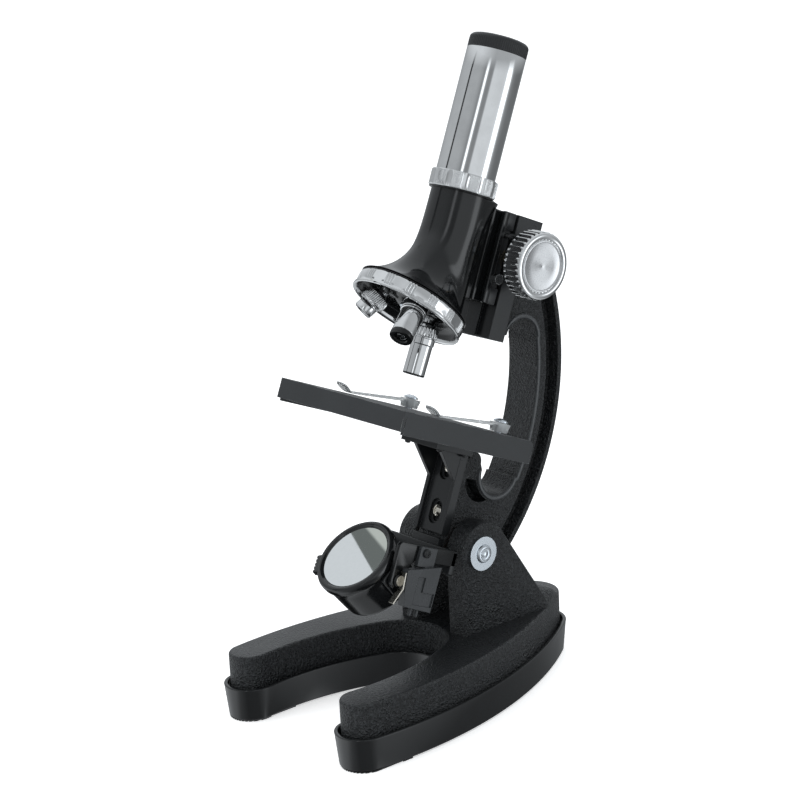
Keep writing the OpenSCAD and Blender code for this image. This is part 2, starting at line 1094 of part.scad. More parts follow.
module tube_housing() {
    color("#141518") {
        difference() {
            union() {
                in_turret()
                    rotate_extrude()
                        difference() {
                            translate([0, bell_u])
                                square([turret_r - 0.6, flare_top - bell_u]);
                            translate([flare_cr, flare_top])
                                circle(r = flare_r, $fn = 128);
                        }
                difference() {
                    in_arm() {
                        translate([0, -optic_y, 88])
                            cylinder(r = neck_r, h = ring_z[0] - 88);
                        translate([0, -optic_y, ring_z[0] - 1])
                            cylinder(r = 11.2, h = 5.4);
                        box([-8.5, -36, slide_z[0]], [8.5, -24, slide_z[1]]);
                        box([-block_x, -25, slide_z[0]], [block_x, block_front - 0.12, slide_z[1]]);
                    }
                    in_turret()
                        box([-60, -60, -60], [60, 60, bell_u]);
                }
            }
            in_arm() {
                translate([0, -optic_y, 108])
                    cylinder(r = bore_r, h = 60);
                translate([0, -optic_y, 70])
                    cylinder(r = 3.4, h = 60);
                translate([0, 0, slide_z[0] - 1])
                    linear_extrude(slide_z[1] - slide_z[0] + 2)
                        rail_plan(0.2);
                box([-2.1, -23, slide_z[0] - 1], [2.1, -18, slide_z[1] + 1]);
                both_sides() {
                    // Relief along the slide for the bushes
                    box([6.3, block_front - 1.2, slide_z[0] - 1], [11, block_front + 1, slide_z[1] + 1]);
                    for (z = gib_screws_z)
                        x_rod(1.25, 6, 20, -21.7, z);
                }
            }
            in_turret() {
                cylinder(r = 2, h = 17);
                translate([0, -16, 0])
                    cylinder(r = 1.35, h = 12);
            }
        }
    }
}

// Rack with a gap between teeth centred opposite the pinion
module focus_rack() {
    root = pinion_y - pitch_r - dedendum;
    tip = pinion_y - pitch_r + addendum;
    color("#b08d4a")
        in_arm()
            side_view(4)
                union() {
                    translate([-22.95, slide_z[0] + 0.6])
                        square([root + 22.95 + EPS, slide_z[1] - slide_z[0] - 1.2]);
                    for (i = [-10:9])
                        translate([root, pinion_z + (i + 0.5) * tooth_pitch])
                            polygon([
                                [0, -0.3 * tooth_pitch], [tip - root, -0.13 * tooth_pitch],
                                [tip - root, 0.13 * tooth_pitch], [0, 0.3 * tooth_pitch]
                            ]);
                }
}

module gib_screws() {
    color("#c4c7cb")
        in_arm()
            both_sides() {
                x_rod(1.2, 6.2, 18.3, -21.7, gib_screws_z[0]);
                x_rod(1.2, 6.2, 12, -21.7, gib_screws_z[1]);
                x_rod(2.1, 10.52, 12.4, -21.7, gib_screws_z[1]);
            }
}

module coin_ring() {
    color("#cfd2d6")
        in_arm()
            translate([0, -optic_y, 0])
                difference() {
                    translate([0, 0, ring_z[0] + 0.02])
                        cylinder(r = coin_r, h = ring_z[1] - ring_z[0]);
                    translate([0, 0, ring_z[0] - 1])
                        cylinder(r = 11.25, h = 20);
                    translate([0, 0, ring_z[0] + 4.6])
                        cylinder(r = tube_r + 0.02, h = 20);
                }
}

module draw_tube() {
    color("#dfe2e5")
        in_arm()
            translate([0, -optic_y, 0])
                difference() {
                    translate([0, 0, ring_z[0] + 4.62])
                        cylinder(r = tube_r, h = cap_z - ring_z[0] - 4.64);
                    translate([0, 0, ring_z[0] + 3])
                        cylinder(r = 11.3, h = 100);
                }
}

module eyepiece() {
    color("#111213")
        in_arm()
            translate([0, -optic_y, 0])
                difference() {
                    rotate_extrude()
                        polygon([
                            [0, 178], [11.25, 178], [11.25, cap_z], [12.2, cap_z],
                            [12.2, cap_z + 4.4], [11, eye_top - 0.6], [9.6, eye_top], [0, eye_top]
                        ]);
                    translate([0, 0, 170])
                        cylinder(r = 9.2, h = 27);
                    translate([0, 0, 170])
                        cylinder(r = 5.5, h = 40);
                    translate([0, 0, eye_top - 2.4])
                        cylinder(r = 7.55, h = 3);
                }
}

module eye_lens() {
    color("#bcd3dc", 0.5)
        in_arm()
            translate([0, -optic_y, eye_top - 2.38])
                rotate_extrude()
                    intersection() {
                        square([7.5, 2.1]);
                        translate([0, 2.1 - 18])
                            circle(r = 18, $fn = 256);
                    }
}

module field_lens() {
    color("#bcd3dc", 0.5)
        in_arm()
            translate([0, -optic_y, 180])
                rotate_extrude()
                    intersection() {
                        square([9.15, 3]);
                        translate([0, 3 - 24])
                            circle(r = 24, $fn = 256);
                    }
}

module turret_screw() {
    color("#cfd2d6")
        in_turret()
            translate([0, 0, 2.5])
                mirror([0, 0, 1])
                    pan_screw(3.6, 1.7, 1.95, 13);
}

module detent_ball() {
    color("#cfd2d6")
        in_turret()
            translate([0, -16, 8.1])
                sphere(r = 1.25);
}

// ---------- turret ----------

module turret_ring() {
    color("#d3d6da")
        in_turret()
            rotate_extrude()
                difference() {
                    union() {
                        translate([22.4, 0.8])
                            square([turret_r - 22.4, 5.7]);
                        translate([turret_r - 1.2, 1.1])
                            circle(r = 1.1);
                        translate([22.4, 5.4])
                            square([turret_r - 22.8, 1.5]);
                    }
                    translate([turret_r + 9.6, 4])
                        circle(r = 9.9);
                }
}

module turret_dish() {
    color("#1a1b1d")
        difference() {
            in_turret()
                rotate_extrude()
                    polygon([
                        [2.03, 2.65], [5.2, 2.65], [6.4, 3.9], [18, 3.9],
                        [22.38, 5], [22.38, 6.7], [2.03, 6.7]
                    ]);
            for (k = [0:2])
                in_objective(k)
                    cylinder(r = 2.72, h = 20, center = true);
        }
}

// Objective's outline as radius and distance below the neck's base
module objective(k, body_r, collar_r) {
    l = reach[k];
    in_objective(k)
        mirror([0, 0, 1])
            difference() {
                rotate_extrude()
                    polygon([
                        [0, -2.9], [2.6, -2.9], [2.6, -0.1], [4.1, 1.2], [collar_r, 1.3], [collar_r, 3.9],
                        [body_r, 4.3], [body_r, l - 0.5], [body_r - 0.5, l], [0, l]
                    ]);
                translate([0, 0, -5])
                    cylinder(r = 1.5, h = l + 10);
                translate([0, 0, l - 1.4])
                    cylinder(r = 2.5, h = 2);
            }
}

module objective_long() {
    color("#d3d6da")
        objective(0, 4.5, 5.3);
}

module objective_medium() {
    color("#d3d6da")
        objective(1, 4.5, 5.3);
}

module objective_short() {
    color("#d3d6da")
        objective(2, 4.1, 5.4);
}

module objective_lenses() {
    color("#bcd3dc", 0.6)
        for (k = [0:2])
            in_objective(k)
                mirror([0, 0, 1])
                    translate([0, 0, reach[k] - 1.38])
                        rotate_extrude()
                            intersection() {
                                square([2.45, 0.9]);
                                translate([0, 0.9 - 5])
                                    circle(r = 5);
                            }
}

base_casting();
base_tray();
battery_door();
door_screw();
battery_front();
battery_rear();
battery_springs();
battery_contacts();
foot_pads();
base_screws();
pivot_bolt();
pivot_washers();
arm_casting();
friction_washers();
focus_block();
block_screws();
pinion_bushes();
stage_bracket();
bracket_screws();
stage_plate();
stage_screws();
clip_screws();
clip_left();
clip_right();
lamp_yoke();
yoke_screws();
contact_block();
contact_leaf();
pinion_shaft();
pinion_gear();
knob_left();
knob_right();
knob_disc_left();
knob_disc_right();
tube_housing();
focus_rack();
gib_screws();
coin_ring();
draw_tube();
eyepiece();
eye_lens();
field_lens();
turret_screw();
detent_ball();
turret_ring();
turret_dish();
objective_long();
objective_medium();
objective_short();
objective_lenses();
drum_shell();
drum_mirror();
drum_window();
lamp_bulb();
lamp_holder();
drum_contact();
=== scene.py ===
import json
from math import acos, asin, atan2, cos, degrees, hypot, pi, radians, sin, sqrt

import bmesh
import bpy
from mathutils import Matrix, Vector

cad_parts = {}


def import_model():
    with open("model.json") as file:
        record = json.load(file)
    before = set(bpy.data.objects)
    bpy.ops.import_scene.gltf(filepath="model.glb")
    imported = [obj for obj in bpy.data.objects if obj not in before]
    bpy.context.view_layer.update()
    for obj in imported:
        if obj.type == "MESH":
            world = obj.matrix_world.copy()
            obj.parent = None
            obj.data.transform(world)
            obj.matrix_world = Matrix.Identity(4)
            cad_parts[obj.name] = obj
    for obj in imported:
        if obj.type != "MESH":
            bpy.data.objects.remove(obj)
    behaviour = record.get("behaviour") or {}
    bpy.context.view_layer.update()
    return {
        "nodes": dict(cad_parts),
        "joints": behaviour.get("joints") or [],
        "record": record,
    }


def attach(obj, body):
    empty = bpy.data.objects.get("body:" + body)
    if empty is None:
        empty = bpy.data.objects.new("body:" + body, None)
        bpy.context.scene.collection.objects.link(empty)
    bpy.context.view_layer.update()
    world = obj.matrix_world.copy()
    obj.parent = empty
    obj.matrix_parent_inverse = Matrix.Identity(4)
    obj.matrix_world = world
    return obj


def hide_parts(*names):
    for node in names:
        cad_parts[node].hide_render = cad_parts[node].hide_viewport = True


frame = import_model()

MM = 0.001
JOINT = {j["name"]: j for j in frame["joints"]}

# ---------- frames, in millimetres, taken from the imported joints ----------


def joint_point(name):
    return Vector(JOINT[name]["pos_m"]) / MM


def joint_axis(name):
    return Vector(JOINT[name]["axis"]).normalized()


def axes_matrix(origin, up):
    """A frame whose X stays along the row's X and whose Z points along up."""
    x = Vector((1, 0, 0))
    z = up.normalized()
    y = z.cross(x)
    m = Matrix((x, y, z)).transposed().to_4x4()
    m.translation = origin
    return m


def turn_x(angle):
    return Matrix.Rotation(radians(angle), 4, "X")


def turn_z(angle):
    return Matrix.Rotation(radians(angle), 4, "Z")


def move(x, y, z):
    return Matrix.Translation((x, y, z))


OPTIC_Y = -42.46
SPLAY = 18.5
OBJECTIVE_RING = 13.1
OBJECTIVE_U = 3
DRUM_TIP = 59.5
KNOB_Y = -15.74
KNOB_Z = 118.48

BASE = Matrix.Identity(4)
ARM = axes_matrix(joint_point("arm_tilt"), joint_axis("focus_slide"))
OPTIC = ARM @ move(0, OPTIC_Y, 0)
TURRET = axes_matrix(joint_point("turret_turn"), joint_axis("turret_turn"))
DRUM = Matrix.Translation(joint_point("drum_flip")) @ ARM.to_3x3().to_4x4() @ turn_x(DRUM_TIP)
KNOB = ARM @ move(0, KNOB_Y, KNOB_Z) @ Matrix.Rotation(pi / 2, 4, "Y")


def objective_frame(k):
    """Z runs down the objective, from the base of its neck to its lens."""
    seat = turn_z(-120 * k) @ move(0, OBJECTIVE_RING, OBJECTIVE_U) @ turn_x(SPLAY)
    return TURRET @ seat @ Matrix.Diagonal((1, 1, -1, 1))


# ---------- materials ----------


class Nodes:
    """Small helper that adds and links shader nodes."""

    def __init__(self, tree):
        self.tree = tree

    def add(self, kind, **values):
        node = self.tree.nodes.new(kind)
        for key, value in values.items():
            setattr(node, key, value)
        return node

    def feed(self, socket, value):
        if hasattr(value, "is_output"):
            self.tree.links.new(value, socket)
        else:
            socket.default_value = value

    def math(self, operation, a, b):
        node = self.add("ShaderNodeMath", operation=operation)
        self.feed(node.inputs[0], a)
        self.feed(node.inputs[1], b)
        return node.outputs[0]

    def scale(self, value, low, high, to_low, to_high):
        node = self.add("ShaderNodeMapRange", clamp=True)
        self.feed(node.inputs["Value"], value)
        for name, v in (("From Min", low), ("From Max", high), ("To Min", to_low), ("To Max", to_high)):
            node.inputs[name].default_value = v
        return node.outputs["Result"]

    def blend(self, factor, a, b):
        node = self.add("ShaderNodeMix", data_type="RGBA")
        self.feed(node.inputs["Factor"], factor)
        self.feed(node.inputs["A"], a)
        self.feed(node.inputs["B"], b)
        return node.outputs["Result"]

    def noise(self, vector, scale, detail=3.0, roughness=0.55):
        node = self.add("ShaderNodeTexNoise")
        self.feed(node.inputs["Vector"], vector)
        node.inputs["Scale"].default_value = scale
        node.inputs["Detail"].default_value = detail
        node.inputs["Roughness"].default_value = roughness
        return node.outputs["Fac"]

    def cells(self, vector, scale, smooth=0.6):
        node = self.add("ShaderNodeTexVoronoi", feature="SMOOTH_F1")
        self.feed(node.inputs["Vector"], vector)
        node.inputs["Scale"].default_value = scale
        node.inputs["Smoothness"].default_value = smooth
        return node.outputs["Distance"]

    def bump(self, height, distance, strength=1.0, normal=None):
        node = self.add("ShaderNodeBump")
        self.feed(node.inputs["Height"], height)
        node.inputs["Distance"].default_value = distance
        self.feed(node.inputs["Strength"], strength)
        if normal is not None:
            self.feed(node.inputs["Normal"], normal)
        return node.outputs["Normal"]


def rgb(r, g, b):
    return (r, g, b, 1.0)


def start(name):
    m = bpy.data.materials.new(name)
    m.use_nodes = True
    m.node_tree.nodes.clear()
    n = Nodes(m.node_tree)
    out = n.add("ShaderNodeOutputMaterial")
    shader = n.add("ShaderNodeBsdfPrincipled")
    n.feed(out.inputs["Surface"], shader.outputs["BSDF"])
    place = n.add("ShaderNodeTexCoord").outputs["Object"]
    return m, n, shader, place


def rounded(n, radius):
    node = n.add("ShaderNodeBevel", samples=4)
    node.inputs["Radius"].default_value = radius * MM
    return node.outputs["Normal"]


def edge_mask(n, edge_normal):
    """One along sharp edges, where the rounded normal leaves the true one."""
    true = n.add("ShaderNodeNewGeometry").outputs["Normal"]
    dot = n.add("ShaderNodeVectorMath", operation="DOT_PRODUCT")
    n.feed(dot.inputs[0], true)
    n.feed(dot.inputs[1], edge_normal)
    return n.scale(dot.outputs["Value"], 0.99, 0.86, 0.0, 1.0)


def cast_paint():
    """Black crinkle paint on a casting: pebbled sides, a smoother top painted darker than the sides as
    painted shade, and a patchy painted highlight in pale grey along the edges.
    """
    m, n, s, place = start("cast_paint")
    edge = rounded(n, 0.7)
    wrinkle = n.noise(place, 1080, 2.5, 0.55)
    pebbles = n.cells(place, 1500, 0.5)
    height = n.math("ADD", n.math("MULTIPLY", pebbles, 0.45), wrinkle)
    facing = n.add("ShaderNodeSeparateXYZ")
    n.feed(facing.inputs[0], n.add("ShaderNodeNewGeometry").outputs["Normal"])
    top = n.scale(facing.outputs["Z"], 0.8, 0.97, 0.0, 1.0)
    patch = n.noise(place, 45, 2)
    # Patchy pale grey along the sharp edges: a painted highlight where rounded edges would catch the
    # light
    edge_highlight = n.math("MULTIPLY", edge_mask(n, edge), n.scale(n.noise(place, 260, 3), 0.4, 0.62, 0.0, 1.0))
    pale = n.scale(wrinkle, 0.42, 0.68, 0.0, 1.0)
    paint = n.blend(pale, rgb(0.009, 0.01, 0.011), rgb(0.04, 0.044, 0.047))
    # Upward faces take a darker range of the paint than the sides: painted shade on the top faces (the
    # bump change there is real)
    paint = n.blend(top, paint, n.blend(pale, rgb(0.01, 0.011, 0.012), rgb(0.026, 0.028, 0.03)))
    n.feed(s.inputs["Base Color"], n.blend(n.math("MULTIPLY", edge_highlight, 0.6), paint, rgb(0.19, 0.195, 0.2)))
    n.feed(s.inputs["Roughness"], n.scale(patch, 0.3, 0.7, 0.25, 0.36))
    n.feed(s.inputs["Normal"], n.bump(height, 0.0012, n.scale(top, 0.0, 1.0, 1.0, 0.3), edge))
    s.inputs["Specular IOR Level"].default_value = 0.62
    return m


def black_plastic(name, base, low, high, radius=0.35, grain=0.0, level=0.5):
    """Moulded black plastic with handling smears and faint scuffs."""
    m, n, s, place = start(name)
    edge = rounded(n, radius)
    smear = n.noise(place, 60, 4)
    scuff = n.noise(place, 420, 2)
    n.feed(s.inputs["Base Color"], n.blend(smear, rgb(base, base * 1.06, base * 1.14),
                                           rgb(base * 1.65, base * 1.8, base * 1.95)))
    n.feed(s.inputs["Roughness"], n.scale(smear, 0.35, 0.7, low, high))
    if grain:
        height = n.noise(place, 1700, 3)
        n.feed(s.inputs["Normal"], n.bump(height, 0.0001, grain, edge))
    else:
        n.feed(s.inputs["Normal"], n.bump(scuff, 0.00003, 0.18, edge))
    s.inputs["Specular IOR Level"].default_value = level
    return m


def bright_metal(name, tint, low, high, radius=0.2, streak=0.0):
    """Plated metal: mirror-bright, with faint smudges and long polishing marks."""
    m, n, s, place = start(name)
    edge = rounded(n, radius)
    smudge = n.noise(place, 120, 4)
    speck = n.noise(place, 900, 2)
    n.feed(s.inputs["Base Color"], n.blend(n.scale(smudge, 0.35, 0.75, 0.0, 1.0), rgb(*tint),
                                           rgb(*(0.88 * c for c in tint))))
    n.feed(s.inputs["Roughness"], n.scale(smudge, 0.3, 0.75, low, high))
    n.feed(s.inputs["Normal"], n.bump(speck, 0.00002, 0.05 + streak, edge))
    s.inputs["Metallic"].default_value = 1.0
    return m


def spun_aluminium():
    """Turned aluminium: rings of fine tool marks, and a fan of light from its radial sheen."""
    m, n, s, place = start("spun_aluminium")
    tangent = n.add("ShaderNodeTangent", direction_type="RADIAL", axis="X")
    grit = n.noise(place, 2600, 2)
    n.feed(s.inputs["Base Color"], n.blend(grit, rgb(0.66, 0.67, 0.68), rgb(0.88, 0.88, 0.89)))
    n.feed(s.inputs["Roughness"], n.scale(grit, 0.3, 0.7, 0.26, 0.34))
    n.feed(s.inputs["Tangent"], tangent.outputs["Tangent"])
    n.feed(s.inputs["Normal"], n.bump(grit, 0.00001, 0.25))
    s.inputs["Metallic"].default_value = 1.0
    s.inputs["Anisotropic"].default_value = 0.85
    return m


def clear(name, tint, rough, ior, weight=1.0):
    """Clear plastic or glass with a faint uneven haze."""
    m, n, s, place = start(name)
    haze = n.noise(place, 200, 3)
    n.feed(s.inputs["Roughness"], n.scale(haze, 0.3, 0.7, rough * 0.6, rough * 1.6))
    s.inputs["Base Color"].default_value = rgb(*tint)
    s.inputs["IOR"].default_value = ior
    s.inputs["Transmission Weight"].default_value = weight
    return m


def mirror_glass():
    m, n, s, place = start("mirror_glass")
    dust = n.noise(place, 700, 4)
    n.feed(s.inputs["Base Color"], n.blend(n.scale(dust, 0.4, 0.8, 0.0, 1.0), rgb(0.82, 0.84, 0.845),
                                           rgb(0.79, 0.815, 0.82)))
    n.feed(s.inputs["Roughness"], n.scale(dust, 0.4, 0.8, 0.008, 0.018))
    s.inputs["Metallic"].default_value = 1.0
    return m


def stage_paint():
    """Satin dark-grey paint on sheet steel, with a patchy pale grey painted highlight along the edges."""
    m, n, s, place = start("stage_paint")
    edge = rounded(n, 0.35)
    grain = n.noise(place, 1500, 3)
    cloud = n.noise(place, 35, 3)
    # Patchy pale grey along the sharp edges: a painted highlight on the stage's edges
    stage_edge_highlight = n.math("MULTIPLY", edge_mask(n, edge), n.scale(n.noise(place, 160, 3), 0.4, 0.6, 0.0, 0.9))
    paint = n.blend(cloud, rgb(0.026, 0.028, 0.03), rgb(0.044, 0.047, 0.05))
    n.feed(s.inputs["Base Color"], n.blend(stage_edge_highlight, paint, rgb(0.42, 0.43, 0.44)))
    n.feed(s.inputs["Roughness"], n.scale(grain, 0.3, 0.7, 0.36, 0.5))
    n.feed(s.inputs["Normal"], n.bump(grain, 0.00006, 0.35, edge))
    return m


def matt(name, colour, rough, bump=0.3, scale=900):
    m, n, s, place = start(name)
    grain = n.noise(place, scale, 3)
    dark = rgb(*(0.7 * c for c in colour))
    n.feed(s.inputs["Base Color"], n.blend(grain, dark, rgb(*colour)))
    n.feed(s.inputs["Roughness"], n.scale(grain, 0.3, 0.7, rough * 0.85, min(1.0, rough * 1.15)))
    n.feed(s.inputs["Normal"], n.bump(grain, 0.00008, bump, rounded(n, 0.25)))
    return m


MATERIAL = {
    "cast_paint": cast_paint(),
    "gloss_black": black_plastic("gloss_black", 0.008, 0.08, 0.2, 0.45, level=0.6),
    "satin_black": black_plastic("satin_black", 0.014, 0.26, 0.4, 0.35, 0.12),
    "stage_paint": stage_paint(),
    "chrome": bright_metal("chrome", (0.86, 0.865, 0.87), 0.03, 0.1),
    "spun_aluminium": spun_aluminium(),
    "zinc_steel": bright_metal("zinc_steel", (0.74, 0.79, 0.84), 0.2, 0.3, 0.25, 0.02),
    "brass": bright_metal("brass", (0.72, 0.55, 0.26), 0.18, 0.34, 0.15, 0.1),
    "nickel": bright_metal("nickel", (0.78, 0.74, 0.66), 0.14, 0.26, 0.15, 0.05),
    "clear_clip": clear("clear_clip", (0.9, 0.92, 0.93), 0.2, 1.35, 0.55),
    "switch_plastic": black_plastic("switch_plastic", 0.034, 0.2, 0.34, 0.3, 0.1),
    "lens_glass": clear("lens_glass", (0.9, 0.95, 0.97), 0.01, 1.52),
    "window": clear("window", (0.93, 0.95, 0.96), 0.3, 1.49),
    "mirror_glass": mirror_glass(),
    "bulb_glass": clear("bulb_glass", (0.98, 0.97, 0.93), 0.03, 1.45),
    "holder_white": matt("holder_white", (0.72, 0.72, 0.69), 0.4),
    "rubber": matt("rubber", (0.016, 0.016, 0.017), 0.62, 0.5),
    "fibre": matt("fibre", (0.28, 0.12, 0.05), 0.7, 0.5),
    "cell_jacket": matt("cell_jacket", (0.16, 0.2, 0.05), 0.32, 0.1),
    "ink_black": black_plastic("ink_black", 0.006, 0.12, 0.25, 0.15),
    # Paint lighter than the casting's, for the arm's beads: a painted highlight along each bead
    "bead_highlight_paint": matt("bead_highlight_paint", (0.085, 0.09, 0.095), 0.3, 0.45, 1300),
}

# Nodes whose finish differs a little from the rest of their slot
FINISH = {"focus_block": "satin_black", "gib_screws": "chrome", "yoke_screws": "satin_black"}

for part in frame["record"]["subparts"]:
    node_object = frame["nodes"][part["node"]]
    node_object.data.materials.clear()
    node_object.data.materials.append(MATERIAL[FINISH.get(part["node"], part["material_slot"])])

# ---------- mesh builders, in millimetres ----------

SMOOTH_ANGLE = radians(32)


def piece(name, verts, faces, body, slot, replaced=(), material=None):
    """Makes one mesh object in metres, shades it, and lets it ride on its body."""
    mesh = bpy.data.meshes.new(name)
    mesh.from_pydata([Vector(v) * MM for v in verts], [], faces)
    solid = bmesh.new()
    solid.from_mesh(mesh)
    bmesh.ops.recalc_face_normals(solid, faces=solid.faces)
    solid.to_mesh(mesh)
    solid.free()
    for polygon in mesh.polygons:
        polygon.use_smooth = True
    mesh.set_sharp_from_angle(angle=SMOOTH_ANGLE)
    mesh.materials.append(MATERIAL[material or slot])
    o = bpy.data.objects.new(name, mesh)
    bpy.context.scene.collection.objects.link(o)
    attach(o, body)
    if replaced:
        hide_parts(*replaced)
    return o


def rings(loops, place, closed_start=True, closed_end=True):
    """Joins loops of equal length, each a list of points, into one closed skin."""
    count = len(loops[0])
    verts = [place @ Vector(p) for loop in loops for p in loop]
    faces = []
    for i in range(len(loops) - 1):
        a, b = i * count, (i + 1) * count
        for j in range(count):
            k = (j + 1) % count
            faces.append((a + j, a + k, b + k, b + j))
    if closed_start:
        faces.append(tuple(range(count - 1, -1, -1)))
    if closed_end:
        last = (len(loops) - 1) * count
        faces.append(tuple(range(last, last + count)))
    return verts, faces


def flipped(place):
    return place.to_3x3().determinant() < 0


def skin(name, loops, place, body, slot, replaced=(), material=None, start=True, end=True):
    verts, faces = rings(loops, place, start, end)
    if flipped(place):
        faces = [tuple(reversed(f)) for f in faces]
    return piece(name, verts, faces, body, slot, replaced, material)


def lathe(name, profile, place, body, slot, replaced=(), material=None, steps=128, relief=None,
          start=True, end=True):
    """Turns a profile of (radius, height) pairs. relief(height, angle) adds to the radius."""
    loops = []
    for r, z in profile:
        loop = []
        for j in range(steps):
            a = 2 * pi * j / steps
            out = r + (relief(z, a) if relief else 0.0)
            loop.append((out * cos(a), out * sin(a), z))
        loops.append(loop)
    return skin(name, loops, place, body, slot, replaced, material, start, end)


def arc(cx, cy, r, a0, a1, steps):
    """Points round a circle, from a0 to a1 in degrees, without the last."""
    turn = [radians(a0 + (a1 - a0) * i / steps) for i in range(steps)]
    return [(cx + r * cos(t), cy + r * sin(t)) for t in turn]


def shrink(outline, d):
    """Moves every point of a counter-clockwise outline inwards by d."""
    moved = []
    count = len(outline)
    for i, p in enumerate(outline):
        before = Vector(outline[i - 1])
        after = Vector(outline[(i + 1) % count])
        here = Vector(p)
        e0 = (here - before).normalized()
        e1 = (after - here).normalized()
        n0 = Vector((-e0.y, e0.x))
        n1 = Vector((-e1.y, e1.x))
        mid = n0 + n1
        moved.append(tuple(here + mid * (d / max(0.35, 0.5 * mid.length_squared))))
    return moved


def round_edge(r, steps=5):
    """Inset and drop pairs that round an edge of radius r, from the wall to the face."""
    return [(r - r * cos(pi / 2 * i / steps), r - r * sin(pi / 2 * i / steps)) for i in range(steps + 1)]


def plate(name, outline, lo, hi, edge, place, body, slot, replaced=(), material=None):
    """A slab of an outline from lo to hi with rounded edges at both ends."""
    loops = []
    for inset, drop in reversed(round_edge(edge)):
        loops.append([(x, y, lo + drop) for x, y in shrink(outline, inset)])
    for inset, drop in round_edge(edge):
        loops.append([(x, y, hi - drop) for x, y in shrink(outline, inset)])
    return skin(name, loops, place, body, slot, replaced, material)


def round_rect(x0, x1, y0, y1, r, steps=5):
    return (
        arc(x1 - r, y0 + r, r, -90, 0, steps) + [(x1, y0 + r)]
        + arc(x1 - r, y1 - r, r, 0, 90, steps) + [(x1 - r, y1)]
        + arc(x0 + r, y1 - r, r, 90, 180, steps) + [(x0, y1 - r)]
        + arc(x0 + r, y0 + r, r, 180, 270, steps) + [(x0 + r, y0)]
    )


# Lays a side view, drawn as Y and Z, so that it is extruded along X
ACROSS = Matrix(((0, 0, 1, 0), (1, 0, 0, 0), (0, 1, 0, 0), (0, 0, 0, 1)))

# ---------- base ----------

TAIL = (0.0, 44.8, 15.2)
SIDE = (-152.2, -60.0, 200.0)
TOE_Y = -80.2
TOE_R = 11.1
INNER_Y = -66.0
INNER_R = 104.3
NOTCH_Y = -31.0
TOE_X = SIDE[0] + sqrt((SIDE[2] - TOE_R) ** 2 - (TOE_Y - SIDE[1]) ** 2)
INNER_X = TOE_X - sqrt((INNER_R + TOE_R) ** 2 - (TOE_Y - INNER_Y) ** 2)
NOTCH_R = INNER_R - hypot(INNER_X, NOTCH_Y - INNER_Y)


def plan(d):
    """The base's outline drawn in by d: arcs that meet smoothly."""
    tail_angle = degrees(atan2(TAIL[1] - SIDE[1], TAIL[0] - SIDE[0]))
    toe_angle = degrees(atan2(TOE_Y - SIDE[1], TOE_X - SIDE[0]))
    inner_angle = degrees(atan2(TOE_Y - INNER_Y, TOE_X - INNER_X))
    notch_angle = degrees(atan2(NOTCH_Y - INNER_Y, -INNER_X))
    right = arc(TAIL[0], TAIL[1], TAIL[2] - d, 90, tail_angle, 14)
    right += arc(SIDE[0], SIDE[1], SIDE[2] - d, tail_angle, toe_angle, 40)
    right += arc(TOE_X, TOE_Y, TOE_R - d, toe_angle, inner_angle - 180, 28)
    right += arc(INNER_X, INNER_Y, INNER_R + d, inner_angle, notch_angle, 24)
    right += arc(0, NOTCH_Y, NOTCH_R + d, notch_angle, 90, 14)
    left = [(-x, y) for x, y in reversed(right[1:])]
    return list(reversed(right + [(0, NOTCH_Y + NOTCH_R + d)] + left))


DECK_INSET = 2.75
DECK_Z = 27.7
RIM_Z = 14.5
FOOT_Z = 0.6
CHEEK_X = 19.9
CHEEK_IN = 10.0
PIVOT_Z = joint_point("arm_tilt").z


def at_height(outline, z):
    return [(x, y, z) for x, y in outline]


def plan_half_width(y):
    """Half the casting's width at y, a little inside its wall, towards the tail."""
    side = SIDE[0] + sqrt((SIDE[2] - DECK_INSET) ** 2 - (y - SIDE[1]) ** 2)
    tail = sqrt(max((TAIL[2] - DECK_INSET) ** 2 - (y - TAIL[1]) ** 2, 0.0))
    tangent_y = TAIL[1] + (TAIL[2] - DECK_INSET) * (TAIL[1] - SIDE[1]) / hypot(TAIL[0] - SIDE[0],
                                                                               TAIL[1] - SIDE[1])
    return (tail if y > tangent_y else side) - 0.1


